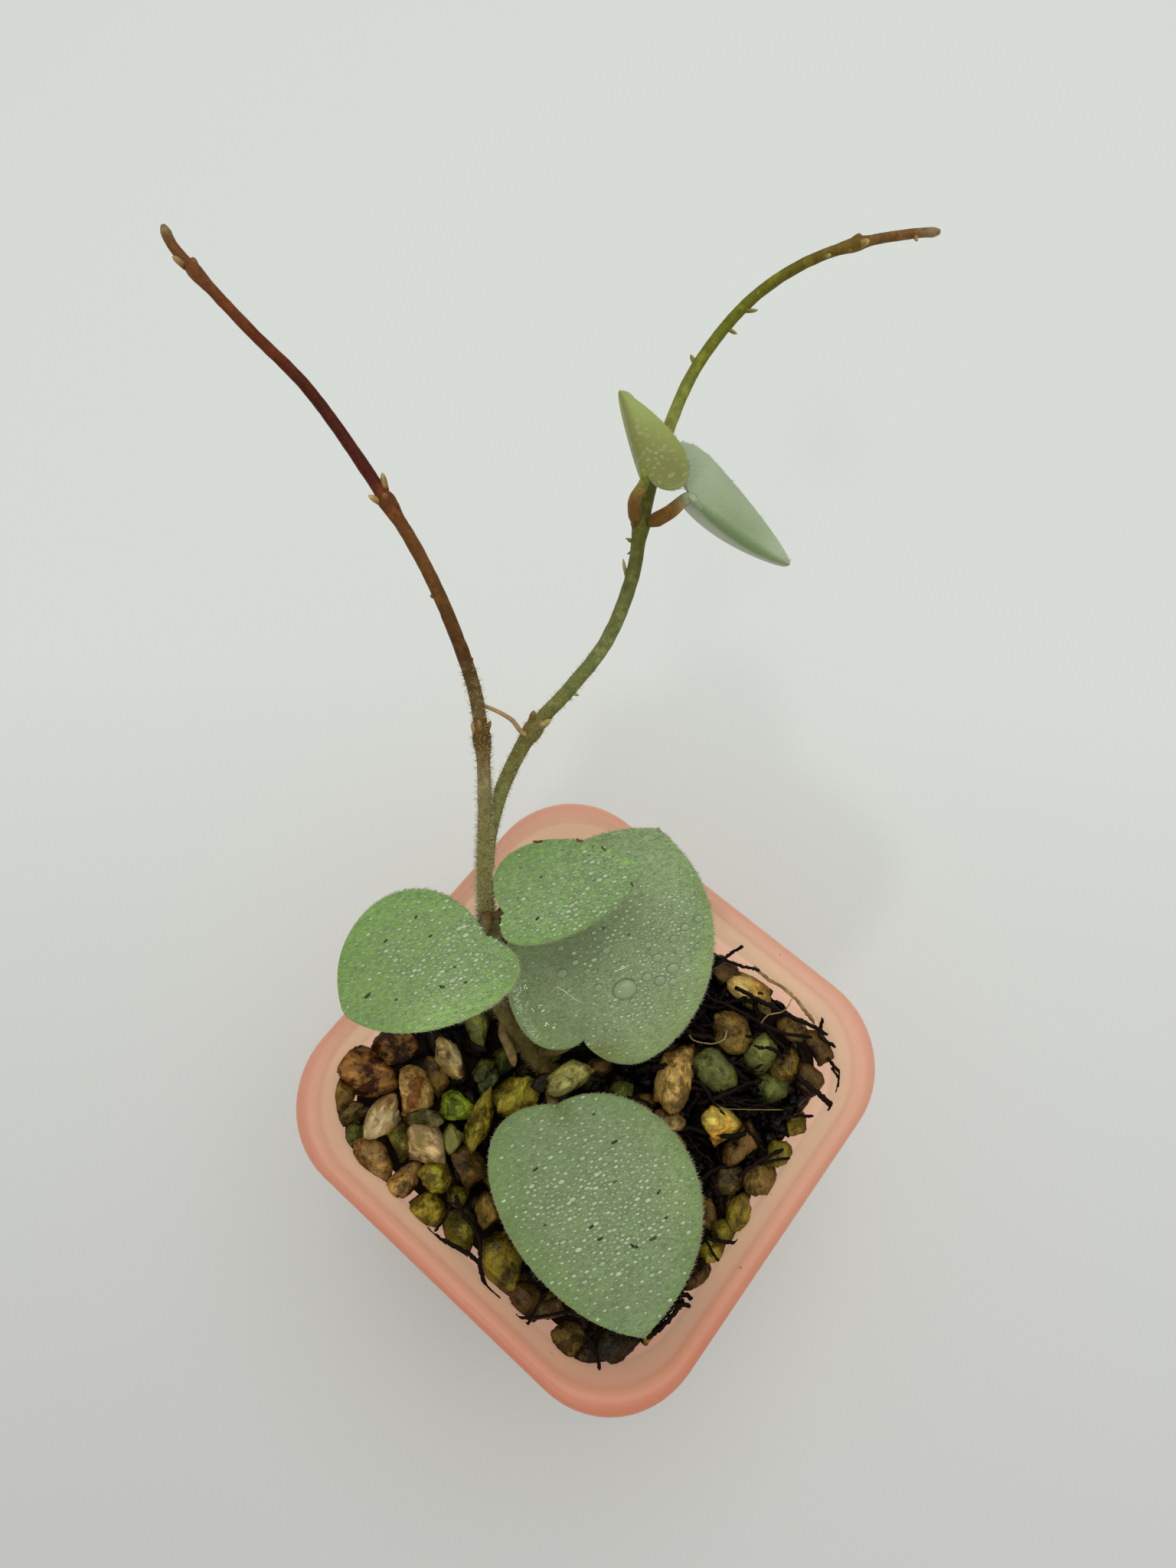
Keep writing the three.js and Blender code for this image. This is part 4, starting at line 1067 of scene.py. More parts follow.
# Where a leaf is paler or darker than its tone, partly its own tone and partly painted light and shade: along
# and across, reach along and across, gains
leafToneAndShadePatches = {
    "front": [
        (13, 10, 9, 3.5, (1.24, 1.16, 1.14)), (0.5, 0, 1.6, 2.0, (0.75, 0.72, 0.5)),
        (18, -7, 8, 5, (0.94, 0.94, 0.86)), (12, -5, 4, 3, (1.08, 1.06, 1.05)),
    ],
    "back": [
        # The first three back-leaf patches are the painted shadow of the middle leaf
        (9.5, 6.6, 3.4, 3.2, (0.7, 0.7, 0.63)), (13.6, 3.4, 3.0, 2.6, (0.66, 0.66, 0.6)),
        (17.6, 0.6, 2.6, 2.2, (0.76, 0.78, 0.7)), (4, 7, 4.5, 3.5, (0.86, 0.84, 0.82)),
        (1.5, 2.5, 2.5, 2.5, (0.84, 0.85, 0.78)), (-0.5, -3, 1.6, 2.6, (0.78, 0.66, 0.42)),
        (12, -11.5, 9, 4.2, (1.25, 1.2, 1.32)), (26, 1, 4.5, 6, (1.3, 1.33, 1.36)),
        (4, -8, 4, 4, (1.14, 1.08, 1.12)), (21, -5, 4, 4, (1.08, 1.1, 1.12)),
        (3.5, 5.5, 3, 3.5, (1.14, 1.12, 1.15)),
    ],
    "left": [
        (4.5, 6.8, 6, 2.6, (1.24, 1.22, 1.24)), (-3, 0, 2.4, 3, (1.25, 1.28, 1.3)),
        (8.5, -9, 4, 2, (1.1, 1.13, 1.22)), (15, -3, 4, 6, (0.97, 0.99, 0.85)),
        (10, 6.5, 6, 3.5, (1.32, 1.24, 1.42)),
    ],
    "middle": [
        (15.5, 1, 2, 3, (1.1, 1.12, 1.1)), (5, -1, 5, 3, (1.05, 1.05, 1.05)),
        (5, 6.5, 7, 2, (0.9, 0.93, 0.8)),
    ],
    "upper_right": [
        (11, -2, 2.5, 5, (1.22, 1.18, 1.25)), (3, -2, 3, 2.5, (0.86, 0.88, 0.82)),
        (5.5, -1.6, 3, 1.2, (0.85, 0.92, 0.75)),
    ],
    "upper_left": [
        (8, 1.5, 4, 3, (1.08, 1.13, 1.5)), (-1, 3, 3, 3, (0.9, 0.84, 0.72)),
        (4.5, -2.6, 3.5, 1.0, (0.95, 0.8, 0.7)),
    ],
}
# Where the small drops lie: along and across, reach along and across, how dense
dropAreas = {
    "front": [(13, 0, 8.5, 9.0, 1.2)],
    "back": [(11, -4, 8, 7, 1.2), (18, -5, 5, 5, 1.0)],
    "left": [(3.5, 0.5, 6.5, 6, 1.2), (9, -1, 4, 4, 0.4)],
    "middle": [(6, -3, 7, 3.5, 1.1), (11, 1, 4, 3, 0.5)],
}
# Larger drops: along and across the blade from its base, and radius
bigDrops = {
    "back": [
        (8.3, -2.7, 1.4), (13.5, -5.3, 0.6), (12.8, -7.6, 0.7), (10.8, -6.6, 0.7), (10.7, -4.9, 0.6),
        (11.2, -8.2, 0.5), (7.4, 0.6, 0.55), (7.7, 5.5, 0.65), (9.0, 2.6, 0.45), (18.3, -7.3, 0.5),
        (14.7, -3.6, 0.45), (19.9, -8.6, 0.5), (16.4, -6.4, 0.5), (16.4, -9.7, 0.4), (9.6, 4.4, 0.4),
        (10.7, 6.7, 0.4), (12.3, 1.2, 0.5),
    ],
}
# The wet patch on the back leaf's left lobe: middle, spread, and where it glints
wetPatch = {
    "middle": (2.6, 6.8), "spread": 4.6,
    "glints": [(4.2, 9.6), (4.6, 9.2), (2.0, 7.4), (2.5, 6.8), (2.5, 6.0), (0.8, 5.1), (0.8, 4.2)],
    "line": [(5.8, 5.6), (5.6, 4.5), (5.3, 3.6), (5.0, 2.7), (5.0, 1.7)],
    "streak": [(10.0, -0.7), (10.9, -1.7), (11.9, -2.7)],
    "glintFlecks": 3, "glintSpread": (0.2, 0.3), "glintSize": (0.05, 0.1),
    "lineWidth": 0.03, "streakWidth": 0.045,
}
# Dark specks: along and across, half length, turn in degrees from the hairs' lean
leafSpecks = {
    "front": [
        (3.0, 3.9, 0.2, 0), (7.0, 5.0, 0.45, 5), (6.2, -5.1, 0.4, 10), (14.2, 7.8, 0.35, 30),
        (14.7, -1.2, 0.45, 15), (16.3, -0.7, 0.4, 0), (18.5, 2.7, 0.55, -40), (18.6, 5.1, 0.5, 0),
        (11.2, 3.4, 0.3, 0), (17.1, 7.5, 0.25, 0), (12.4, -6.3, 0.2, 0), (16.8, 4.6, 0.15, 0),
    ],
    "back": [(15.2, -0.9, 0.2, 0), (9.4, -5.3, 0.18, 0), (14.9, 2.4, 0.2, 0)],
    "left": [
        (6.1, -5.7, 0.25, 40), (5.5, -2.9, 0.25, 0), (10.4, -5.0, 0.3, 20), (14.7, -0.5, 0.5, 20),
        (12.0, 1.5, 0.2, 0), (6.8, 2.8, 0.4, -30), (4.6, 1.5, 0.2, 0), (4.3, 3.6, 0.2, 0),
    ],
    "middle": [(5.3, 2.5, 0.25, 10), (3.5, -1.7, 0.3, 20), (10.8, 0.4, 0.15, 0)],
}
# Brown, dried bits of margin: along and across, half length, turn
leafBrowned = {
    "middle": [(6.1, 6.4, 0.6, -20), (10.6, 5.2, 0.45, -40), (12.9, 3.4, 0.35, -60), (14.7, -1.3, 0.3, -90)],
}
# Flecks: radii along them, how a speck's radius grows with its length, and the tiny ones strewn at random
fleckSizes = {
    "radii": (0.3, 0.8, 1.1, 0.8, 1.0, 0.7, 0.3), "bend": 0.15,
    "speckWidth": (0.06, 0.22), "brownedWidth": 0.15,
    "strewn": 14, "strewnAlong": (0.1, 0.85), "strewnAcross": 5, "strewnReach": (0.05, 0.12),
    "strewnTurn": 60, "strewnWidth": 0.05,
}
# Stalks: depth of the root, radii at stalkShares of the length, and bark tones by share of it. ends is where
# a stalk runs under the blade, in the blade's own axes, or how far along the midrib of a folded leaf
stalkShares = [0, 0.12, 0.4, 0.75, 1]
stalkSizes = {
    "open": {
        "root": 1.3, "radii": [0.7, 1.0, 0.95, 0.95, 0.35], "ends": [(1.6, 0, -0.7), (3.4, 0, -0.45)],
        # The dark browns near the stem are partly painted shade where a stalk shows between stem and blade
        "bark": [(0.0, (0.1, 0.065, 0.018)), (0.5, (0.13, 0.09, 0.03)), (1.0, (0.2, 0.2, 0.08))],
    },
    "folded": {
        "root": 0.9, "radii": [0.55, 1.1, 1.0, 0.75, 0.2], "ends": [0.1, 1.0, 2.2], "endDepth": 0.2,
        "bark": [(0.0, (0.18, 0.09, 0.018)), (0.3, (0.22, 0.1, 0.018)), (0.48, (0.28, 0.16, 0.038))],
    },
}
downSizes = {"turn": 25, "length": (0.35, 0.7), "fringe": (0.3, 0.65), "fringePerMm": 15, "radius": 0.03}
dropSizes = {
    "tries": 20000, "small": (0.1, 0.22), "larger": 1.4, "largerShare": 0.1, "inMargin": 0.94, "foot": 0.25,
    "long": 1.6, "longBelow": 0.35, "longLarge": 1.15, "wide": 0.92, "folded": 34, "foldedSize": (0.08, 0.17),
}
leanTurn = math.radians(downSizes["turn"])
hairLean = Vector((math.cos(leanTurn), math.sin(leanTurn), 0))
hairWay = np.array(hairLean)


def edgeCurve(leaf, half, t):
    shoulderX, shoulderY, flankX, flankY = leaf[half]
    near, far = 3 * (1 - t) ** 2 * t, 3 * (1 - t) * t * t
    return near * shoulderX + far * flankX + t ** 3 * leaf["length"], near * shoulderY + far * flankY


# The blade's middle surface before the leaf is turned: x along the midrib, y across it, z above it
def bladeMiddle(leaf, x, y):
    fold, keel, length = math.radians(leaf["fold"]), bladeSizes["keel"], leaf["length"]
    ahead = np.maximum(x, 0)
    z = (np.hypot(y, keel) - keel) * math.sin(fold)
    z = z - leaf["droop"] * (ahead / length) ** 2 - leaf["cup"] * (2 * y / length) ** 2
    if leaf["fold"]:
        share = np.clip(x / length, 0, 1)
        z = z - leaf["bow"] * 4 * share * (1 - share)
    else:
        z = z - bladeSizes["dimple"] * np.exp(-(y / 0.9) ** 2 - ahead / (0.22 * length))
        z = z + bladeSizes["wave"] * np.sin(x * 0.5 + leaf["seed"]) * np.cos(y * 0.42 + 0.6 * leaf["seed"])
    return np.stack([x, y * math.cos(fold), z], -1)


def bladeNormals(leaf, x, y):
    step = 0.01
    centre = bladeMiddle(leaf, x, y)
    normals = np.cross(bladeMiddle(leaf, x + step, y) - centre, bladeMiddle(leaf, x, y + step) - centre)
    return normals / np.linalg.norm(normals, axis=-1, keepdims=True)


def leafPlace(leaf):
    heading, rise, roll = (math.radians(leaf[key]) for key in ("heading", "rise", "roll"))
    turned = Matrix.Rotation(heading, 3, "Z") @ Matrix.Rotation(-rise, 3, "Y") @ Matrix.Rotation(roll, 3, "X")
    return np.array(turned), np.array(leaf["base"])


# Both faces of a blade as grids over its length and width, their normals, and each point's share toward the
# margin and along the blade
def bladeGrids(leaf):
    t = np.linspace(0, 1, bladeSizes["alongSteps"] + 1)[:, None]
    marginFrom, marginShares = bladeSizes["marginFrom"], bladeSizes["marginShares"]
    inner = np.linspace(0, marginFrom, bladeSizes["acrossSteps"] - len(marginShares))
    shares = np.concatenate([inner, marginShares])
    across = np.concatenate([-shares[::-1], shares[1:]])[None, :]
    halves = zip(edgeCurve(leaf, "left", t), edgeCurve(leaf, "right", t))
    edgeX, edgeY = (np.where(across >= 0, left, right) for left, right in halves)
    share = np.abs(across) + 0 * t
    x = leaf["length"] * t * (1 - share) + edgeX * share
    y = across * edgeY
    rounding = np.sqrt(1 - np.clip((share - marginFrom) / (1 - marginFrom), 0, 1) ** 2)
    ends = np.sqrt(1 - np.clip(1 - np.minimum(t, 1 - t) / bladeSizes["endRound"], 0, 1) ** 2)
    half = leaf.get("thickness", bladeSizes["thickness"]) / 2 * (1 - bladeSizes["thinner"] * share ** 4)
    middle, normals = bladeMiddle(leaf, x, y), bladeNormals(leaf, x, y)
    offset = normals * (half * rounding * ends)[..., None]
    return middle + offset, middle - offset, normals, share, t + 0 * share


def gridFaces(rows, columns, start, flipped):
    faces = []
    for i in range(rows - 1):
        for j in range(columns - 1):
            corner = start + i * columns + j
            face = (corner, corner + columns, corner + columns + 1, corner + 1)
            faces.append(face[::-1] if flipped else face)
    return faces


# How strongly a soft patch counts at each place
def inPatch(x, y, patch):
    along, across, reach, spread = patch[:4]
    return np.exp(-((x - along) / reach) ** 2 - ((y - across) / spread) ** 2)


# How far a place is from the middle of the wet patch, in its spreads
def fromWetPatch(x, y):
    return np.hypot(x - wetPatch["middle"][0], y - wetPatch["middle"][1]) / wetPatch["spread"]


def makeBlade(name, leaf):
    top, under, normals, share, t = bladeGrids(leaf)
    turned, base = leafPlace(leaf)
    rows, columns = share.shape
    local = np.concatenate([top.reshape(-1, 3), under.reshape(-1, 3)])
    faces = gridFaces(rows, columns, 0, False) + gridFaces(rows, columns, rows * columns, True)
    x, y = local[:, 0], local[:, 1] / math.cos(math.radians(leaf["fold"]))
    upper = np.repeat([1.0, 0.0], share.size)
    shade = np.ones((len(local), 4))
    for patch in leafToneAndShadePatches.get(name, []):
        shade[:, :3] *= np.array(patch[4]) ** inPatch(x, y, patch)[:, None]
    wet = np.clip(1.4 * np.exp(-fromWetPatch(x, y) ** 4), 0, 1) if name == "back" else np.zeros(len(local))
    blade = meshPiece(f"leaf_{name}_blade", local @ turned.T + base, faces, {
        "upper": upper, "edge": np.tile(share.ravel(), 2), "along": np.tile(t.ravel(), 2), "shade": shade,
        "wet": upper * wet,
    })
    mergedAndOutward(blade, bladeSizes["weld"])
    return blade, top @ turned.T + base, under @ turned.T + base, normals @ turned.T


def tonesOf(leaf):
    tones = leafTones[leaf["finish"]].items()
    return {key: tuple(min(c * t, 1) for c, t in zip(tone, leaf["tintAndShade"])) for key, tone in tones}


def leafMaterial(name, leaf):
    material, tree, shader = newMaterial(f"leaf_{name}")
    tones = tonesOf(leaf)
    place, edge = objectPlace(tree), attribute(tree, "edge")
    cloudy = between(tree, noiseValue(tree, place, 160.0), 0.35, 0.65)
    tone = mixColour(tree, cloudy, scaled(tones["top"], 0.95), scaled(tones["top"], 1.12))
    streakPlace = turnedPlace(tree, place, (0, 0, downSizes["turn"]), (2.6, 0.9, 1.0))
    streaks = noiseValue(tree, streakPlace, 3600.0, 2.0, 0.5)
    tone = mixColour(tree, between(tree, streaks, 0.5, 0.75), tone, scaled(tones["top"], 1.36))
    tone = mixColour(tree, between(tree, streaks, 0.46, 0.3, 0.0, 0.6), tone, scaled(tones["top"], 0.69))
    tone = mixColour(tree, between(tree, edge, 0.55, 0.95), tone, (0.88, 0.97, 0.72), "MULTIPLY")
    under = mixColour(tree, cloudy, tones["under"], scaled(tones["under"], 0.88))
    if leaf["finish"] == "newest":
        dots = addNode(tree, "ShaderNodeTexVoronoi", {"Vector": place, "Scale": 1800.0}, feature="SMOOTH_F1")
        blotches = between(tree, dots.outputs["Distance"], 0.36, 0.16, 0.0, 0.5)
        nearBase = between(tree, attribute(tree, "along"), 0.85, 0.45)
        under = mixColour(tree, nearBase, scaled(tones["under"], 1.17), scaled(tones["under"], 0.76))
        under = mixColour(tree, combined(tree, blotches, nearBase, "MULTIPLY"), under, (0.46, 0.49, 0.19))
    if leaf["fold"]:
        under = mixColour(tree, between(tree, edge, 0.16, 0.03, 0.0, 0.85), under, tones["keel"])
    tone = mixColour(tree, attribute(tree, "upper"), under, tone)
    tone = mixColour(tree, between(tree, edge, 0.97, 0.995), tone, tones["rim"])
    dry = between(tree, streaks, 0.3, 0.7, 0.55, 0.42)
    setSockets(tree, shader, {
        "Base Color": mixColour(tree, 1.0, tone, attribute(tree, "shade", "Color"), "MULTIPLY"),
        "Roughness": between(tree, attribute(tree, "wet"), 0.0, 1.0, dry, 0.12),
        "Sheen Weight": 0.2, "Sheen Roughness": 0.4, "Subsurface Weight": 0.12,
        "Subsurface Radius": (0.4, 1.0, 0.2), "Subsurface Scale": 0.6 * mm,
        "Normal": bump(tree, streaks, 0.45, 0.15),
    })
    return material


def flapMaterial():
    material, tree, shader = newMaterial("tip_flap")
    cloudy = between(tree, noiseValue(tree, objectPlace(tree), 700.0), 0.35, 0.65)
    setSockets(tree, shader, {
        "Base Color": mixColour(tree, cloudy, (0.4, 0.42, 0.25), (0.52, 0.54, 0.36)), "Roughness": 0.5,
    })
    return material


# Random spots on a face's grid, spread evenly over its area
def spotsOn(grid, normals, count, draw):
    spans = np.linalg.norm(np.cross(grid[1:, :-1] - grid[:-1, :-1], grid[:-1, 1:] - grid[:-1, :-1]), axis=-1)
    picks = draw.choice(spans.size, count, p=(spans / spans.sum()).ravel())
    rows, columns = np.unravel_index(picks, spans.shape)
    u, v = draw.random((2, count, 1))
    spots = (grid[rows, columns] * (1 - u) + grid[rows + 1, columns] * u) * (1 - v)
    spots += (grid[rows, columns + 1] * (1 - u) + grid[rows + 1, columns + 1] * u) * v
    return spots, normals[rows, columns], rows, columns


# Hairs that lean one way on the upper face, and a fringe that stands out of the margin all round
def makeDown(name, leaf, top, under, normals):
    draw = np.random.default_rng(leaf["seed"])
    spots, facing, *_ = spotsOn(top, normals, leaf["downs"], draw)
    lean = hairWay * draw.uniform(0.6, 1.1, (len(spots), 1))
    roots, directions = [spots], [facing * 0.5 + lean + draw.normal(0, 0.16, spots.shape)]
    lengths = [draw.uniform(*downSizes["length"], len(spots))]
    for edge, inner in ((-1, -4), (0, 3)):
        rim = (top[:, edge] + under[:, edge]) / 2
        run = runOf(rim)
        wanted = draw.uniform(0, run[-1], int(run[-1] * downSizes["fringePerMm"]))
        places = pointsAt(rim, run, wanted)
        outward = places - pointsAt(top[:, inner], run, wanted)
        outward /= np.linalg.norm(outward, axis=1)[:, None] + 1e-9
        roots.append(places)
        directions.append(outward + hairWay * 0.25 + draw.normal(0, 0.25, places.shape))
    fringe = draw.uniform(*downSizes["fringe"], len(roots[1]) + len(roots[2]))
    lengths.append(fringe * (0.5 if leaf["fold"] else 1))
    hairs = spikes(*(np.concatenate(rows) for rows in (roots, directions, lengths)), downSizes["radius"])
    return meshPiece(f"leaf_{name}_down", *hairs, {})


def makeDropShape(segments, rings):
    bpy.ops.mesh.primitive_uv_sphere_add(segments=segments, ring_count=rings, radius=1)
    bead = bpy.context.active_object
    bpy.ops.object.mode_set(mode="EDIT")
    bpy.ops.mesh.select_all(action="SELECT")
    bpy.ops.mesh.bisect(
        plane_co=(0, 0, -dropSizes["foot"]), plane_no=(0, 0, -1), use_fill=True, clear_outer=True,
    )
    bpy.ops.object.mode_set(mode="OBJECT")
    return shapeArrays(bead)


# Puts a drop on a face, drawn out along the hairs
def addDrop(gathered, shape, spot, facing, radius, height, gleam):
    facing = Vector(facing).normalized()
    along = hairLean - facing * hairLean.dot(facing)
    along.normalize()
    points, faces = shape
    long = dropSizes["long"] if radius < dropSizes["longBelow"] else dropSizes["longLarge"]
    moved = points * (radius * long, radius * dropSizes["wide"], height)
    place = np.array(spot) + 0.05 * height * np.array(facing)
    turned = np.array([along, facing.cross(along), facing])
    gathered.add(moved @ turned + place, faces, lifted=points[:, 2], gleam=gleam)


# Water on the down: beads painted pale as a painted highlight, and a painted dark ring round the foot
def dropMaterial():
    material, tree, shader = newMaterial("water_drop")
    pale = mixColour(tree, attribute(tree, "gleam"), (0.25, 0.34, 0.17), (0.62, 0.72, 0.48))
    foot = between(tree, attribute(tree, "lifted"), 0.1, 0.42)
    ripple = noiseValue(tree, objectPlace(tree), 900.0)
    setSockets(tree, shader, {
        "Base Color": mixColour(tree, foot, (0.1, 0.14, 0.055), pale),
        "Roughness": between(tree, ripple, 0.3, 0.7, 0.04, 0.12), "IOR": 1.33, "Specular IOR Level": 0.8,
    })
    return material


# A spot on the upper face and the way that it faces
def leafSpot(leaf, along, across):
    turned, base = leafPlace(leaf)
    x, y = np.array([float(along)]), np.array([float(across)])
    normal = bladeNormals(leaf, x, y)[0]
    surface = bladeMiddle(leaf, x, y)[0] + normal * bladeSizes["thickness"] / 2
    return surface @ turned.T + base, normal @ turned.T


def makeDrops(name, leaf, top, normals):
    draw = np.random.default_rng(leaf["seed"] + 40)
    gathered, kept = Gathered(), []
    turned, base = leafPlace(leaf)
    for along, across, radius in bigDrops.get(name, []):
        spot, facing = leafSpot(leaf, along, across)
        kept.append((spot, radius))
        addDrop(gathered, clearDrop, spot, facing, radius, 0.5 * radius, draw.uniform(0.05, 0.2))
    spots, facing, rows, columns = spotsOn(top, normals, dropSizes["tries"], draw)
    x, y, _ = ((spots - base) @ turned).T
    chance = sum(area[4] * inPatch(x, y, area) for area in dropAreas[name])
    if name == "back":
        chance = chance * np.clip(fromWetPatch(x, y) - 0.6, 0.02, 1)
    shares = bladeGrids(leaf)[3][rows, columns]
    for spot, face, share, dense in zip(spots, facing, shares, chance):
        if share > dropSizes["inMargin"] or draw.random() > 2 * dense:
            continue
        radius = draw.uniform(*dropSizes["small"])
        radius *= dropSizes["larger"] if draw.random() < dropSizes["largerShare"] else 1
        crowd = 1.0 + 0.9 * noise.noise(Vector(spot) * 0.25 + Vector((leaf["seed"], 0, 0)))
        apart = leaf["drops"] / min(max(dense * crowd, 0.06), 1.1) ** 0.5
        if all(math.dist(spot, other) > max(apart, reach + radius) for other, reach in kept):
            kept.append((spot, radius))
            addDrop(gathered, smallDrop, spot, face, radius, radius * 0.7, draw.uniform(0.1, 0.8))
    return gathered.piece(f"leaf_{name}_drops")


# Water held by the hairs along the margin of a folded leaf
def makeEdgeDrops(name, leaf, top):
    draw = np.random.default_rng(leaf["seed"] + 60)
    gathered = Gathered()
    edge = top[:, -1] if name == "upper_right" else top[:, 0]
    for _ in range(dropSizes["folded"]):
        spot = edge[draw.integers(4, len(edge) - 4)]
        size = draw.uniform(*dropSizes["foldedSize"])
        addDrop(gathered, smallDrop, spot, (0.2, 0, 1), size, size, draw.uniform(0.1, 0.6))
    return gathered.piece(f"leaf_{name}_drops")


# Bright lights on the wet patch: short flecks, a line and a streak
def makeGlints(leaf):
    draw = np.random.default_rng(77)
    gathered = Gathered()
    strayAlong, strayAcross = wetPatch["glintSpread"]
    for x, y in wetPatch["glints"]:
        for _ in range(wetPatch["glintFlecks"]):
            spot, facing = leafSpot(leaf, x + draw.normal(0, strayAlong), y + draw.normal(0, strayAcross))
            size = draw.uniform(*wetPatch["glintSize"])
            addDrop(gathered, smallDrop, spot, facing, size, 0.5 * size, 1.0)
    for key in ("line", "streak"):
        route = smoothRoute([leafSpot(leaf, *place)[0] for place in wetPatch[key]], 24)
        gathered.add(*rod(route, blunt(route, wetPatch[key + "Width"]), 6), lifted=1.0, gleam=1.0)
    return gathered.piece("leaf_back_glints")


def glintMaterial():
    material, tree, shader = newMaterial("wet_glint")
    cloudy = noiseValue(tree, objectPlace(tree), 900.0)
    setSockets(tree, shader, {
        "Base Color": mixColour(tree, cloudy, (0.8, 0.84, 0.8), (0.95, 0.97, 0.95)), "Roughness": 0.15,
        "Emission Color": mixColour(tree, cloudy, (0.5, 0.55, 0.5), (0.75, 0.8, 0.76)),
        "Emission Strength": 0.3,
    })
    return material


# A thin, slightly bent fleck that lies on the upper face
def addFleck(gathered, leaf, fleck, width, draw):
    along, across, reach, turn = fleck
    spot, facing = leafSpot(leaf, along, across)
    lean = hairWay - facing * np.dot(hairWay, facing)
    side = np.cross(facing, lean)
    direction = lean * math.cos(math.radians(turn)) + side * math.sin(math.radians(turn))
    steps = np.linspace(-1, 1, 7)[:, None]
    bend = np.cross(facing, direction) * fleckSizes["bend"]
    route = spot + direction * reach * steps + bend * reach * steps ** 2
    radii = width * np.array(fleckSizes["radii"]) * draw.uniform(0.8, 1.2, 7)
    gathered.add(*rod(route, radii, 6))


def makeSpecks(name, leaf):
    draw = np.random.default_rng(leaf["seed"] + 80)
    gathered = Gathered()
    width, widening = fleckSizes["speckWidth"]
    for speck in leafSpecks[name]:
        addFleck(gathered, leaf, speck, width + widening * speck[2], draw)
    aside, turn = fleckSizes["strewnAcross"], fleckSizes["strewnTurn"]
    for _ in range(fleckSizes["strewn"]):
        along, across = leaf["length"] * draw.uniform(*fleckSizes["strewnAlong"]), draw.uniform(-aside, aside)
        fleck = (along, across, draw.uniform(*fleckSizes["strewnReach"]), draw.uniform(-turn, turn))
        addFleck(gathered, leaf, fleck, fleckSizes["strewnWidth"], draw)
    return gathered.piece(f"leaf_{name}_specks")


def makeBrowned(name, leaf):
    draw = np.random.default_rng(leaf["seed"] + 90)
    gathered = Gathered()
    t = np.linspace(0.2, 1, 60)
    for along, across, reach, turn in leafBrowned[name]:
        edgeX, edgeY = edgeCurve(leaf, "left" if across > 0 else "right", t)
        limit = abs(np.interp(along, edgeX, edgeY)) - 0.1
        across = math.copysign(min(abs(across), limit), across)
        addFleck(gathered, leaf, (along, across, reach, turn), fleckSizes["brownedWidth"], draw)
    return gathered.piece(f"leaf_{name}_browned")


def makeStalk(name, leaf, count=40, sides=16):
    turned, base = leafPlace(leaf)
    sizes = stalkSizes["folded" if leaf["fold"] else "open"]
    ends, bark = sizes["ends"], sizes["bark"]
    if leaf["fold"]:
        ends = bladeMiddle(leaf, np.array(ends), np.zeros(len(ends))) - [0, 0, sizes["endDepth"]]
        bark = [*bark, (0.72, scaled(tonesOf(leaf)["under"], 0.78))]
    ends = np.array(ends) @ turned.T + base
    first, second = np.array([*leaf["stalk"], ends[0]])[:2]
    start = first - (second - first) / np.linalg.norm(second - first) * sizes["root"]
    shares = np.linspace(0, 1, count)
    radii = leaf["stalkRadius"] * np.interp(shares, stalkShares, sizes["radii"])
    gathered = Gathered()
    route = smoothRoute([start, *leaf["stalk"], *ends], count)
    addRod(gathered, route, radii, sides, alongTone(bark, shares))
    return gathered.piece(f"leaf_{name}_stalk")


leafHair, stalkBark = downMaterial("leaf_hair", (0.5, 0.57, 0.36)), barkMaterial("stalk_bark")
waterDrop, wetGlint = dropMaterial(), glintMaterial()
speckDark = darkMaterial("speck", (0.03, 0.05, 0.02), 0.6)
driedBrown = darkMaterial("dried_margin", (0.1, 0.06, 0.02), 0.7)
smallDrop, clearDrop = makeDropShape(8, 6), makeDropShape(24, 14)
for name, leaf in leafSizes.items():
    blade, top, under, normals = makeBlade(name, leaf)
    pieces = [
        (blade, leafMaterial(name, leaf)), (makeStalk(name, leaf), stalkBark),
        (makeDown(name, leaf, top, under, normals), leafHair),
    ]
    if leaf["fold"]:
        pieces.append((makeEdgeDrops(name, leaf, top), waterDrop))
    else:
        pieces += [(makeDrops(name, leaf, top, normals), waterDrop), (makeSpecks(name, leaf), speckDark)]
    if name == "back":
        pieces.append((makeGlints(leaf), wetGlint))
    if name in leafBrowned:
        pieces.append((makeBrowned(name, leaf), driedBrown))
    for piece, material in pieces:
        finishPiece(piece, material, f"leaf_{name}")

flap, *_ = makeBlade("tip_flap", tipFlap)
finishPiece(flap, flapMaterial(), "leaf_upper_left")


print("floor, light and camera")
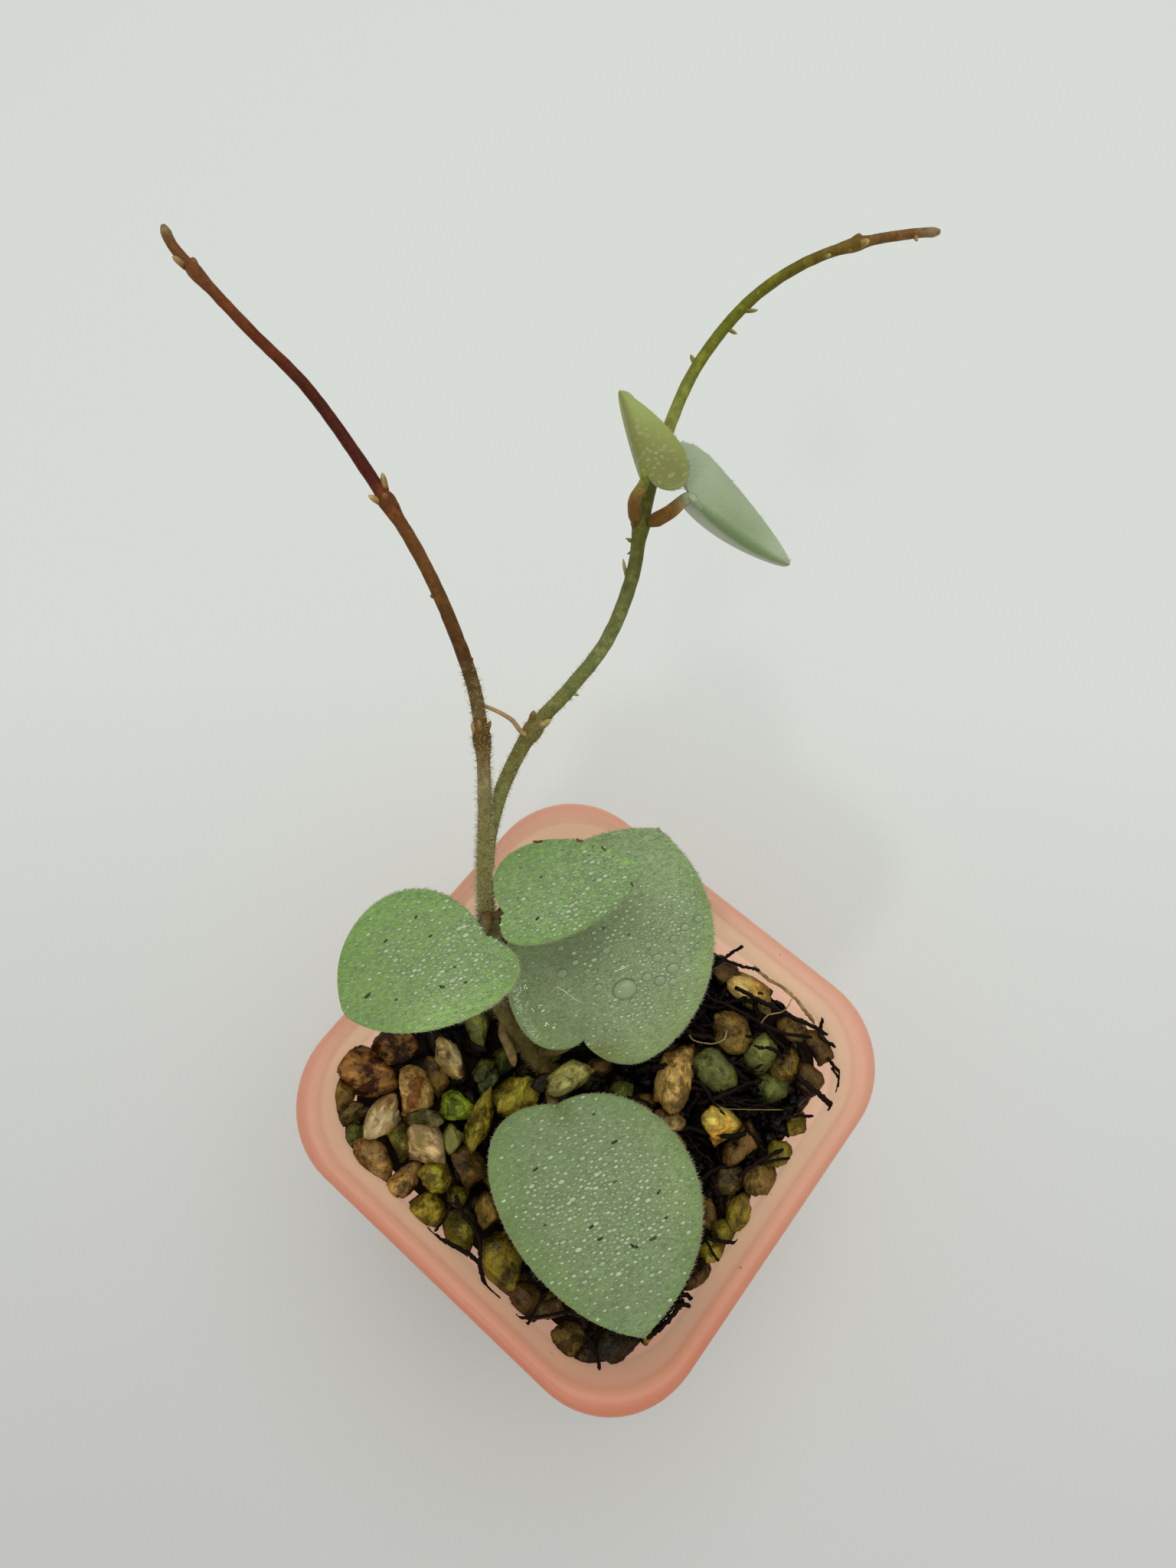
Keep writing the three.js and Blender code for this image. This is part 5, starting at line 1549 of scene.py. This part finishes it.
# Floor tones: darker toward the near side and the near left, as painted shade
floorShadeTones = {"nearLeft": (0.66, 0.66, 0.62), "nearRight": (0.7, 0.7, 0.66), "far": (0.83, 0.85, 0.79)}
studio = {
    "floorSize": 3.0, "world": (0.95, 0.98, 1.0, 1.0), "worldStrength": 0.5, "aim": (0, 0.02, 0.05),
    "key": {"power": 3.9, "size": 1.0, "place": (0.1, 0.28, 1.0)},
    "glint": {"power": 0.9, "size": 0.12, "place": (-0.3, -0.6, 0.8)},
}
cameraSizes = {
    "place": (-2.22, -3.24, 173.78), "down": 70.6, "roll": -3.13, "lens": 20.9, "sensor": 36.0,
    "nearest": 0.005,
}


def floorMaterial():
    material, tree, shader = newMaterial("floor_painted_shade")
    place = objectPlace(tree)
    rightward = between(tree, axisOf(tree, place, "X"), -0.06, 0.04)
    near = mixColour(tree, rightward, floorShadeTones["nearLeft"], floorShadeTones["nearRight"])
    away = between(tree, axisOf(tree, place, "Y"), -0.07, 0.08)
    setSockets(tree, shader, {
        "Base Color": mixColour(tree, away, near, floorShadeTones["far"]), "Roughness": 0.9,
    })
    return material


def addLight(sizes):
    bpy.ops.object.light_add(type="AREA", location=sizes["place"])
    light = bpy.context.active_object
    light.data.shape = "DISK"
    light.data.size = sizes["size"]
    light.data.energy = sizes["power"]
    light.rotation_euler = (Vector(studio["aim"]) - light.location).to_track_quat("-Z", "Y").to_euler()


def makeCamera():
    down, roll = math.radians(cameraSizes["down"]), math.radians(cameraSizes["roll"])
    forward = Vector((0, math.cos(down), -math.sin(down)))
    right = Vector((1, 0, 0))
    up = right.cross(forward)
    across = right * math.cos(roll) - up * math.sin(roll)
    above = right * math.sin(roll) + up * math.cos(roll)
    data = bpy.data.cameras.new("camera")
    data.lens = cameraSizes["lens"]
    data.sensor_width = cameraSizes["sensor"]
    data.clip_start = cameraSizes["nearest"]
    camera = bpy.data.objects.new("camera", data)
    bpy.context.scene.collection.objects.link(camera)
    turned = Matrix((across, above, -forward)).transposed().to_4x4()
    camera.matrix_world = Matrix.Translation(Vector(cameraSizes["place"]) * mm) @ turned
    bpy.context.scene.camera = camera


bpy.ops.mesh.primitive_plane_add(size=studio["floorSize"], location=(0, 0, 0))
floor = bpy.context.active_object
floor.name = "floor"
floor.data.materials.append(floorMaterial())
world = bpy.data.worlds.new("studio")
world.use_nodes = True
background = world.node_tree.nodes["Background"]
setSockets(world.node_tree, background, {"Color": studio["world"], "Strength": studio["worldStrength"]})
bpy.context.scene.world = world
addLight(studio["key"])
addLight(studio["glint"])
makeCamera()
bpy.context.scene.view_settings.view_transform = "Standard"
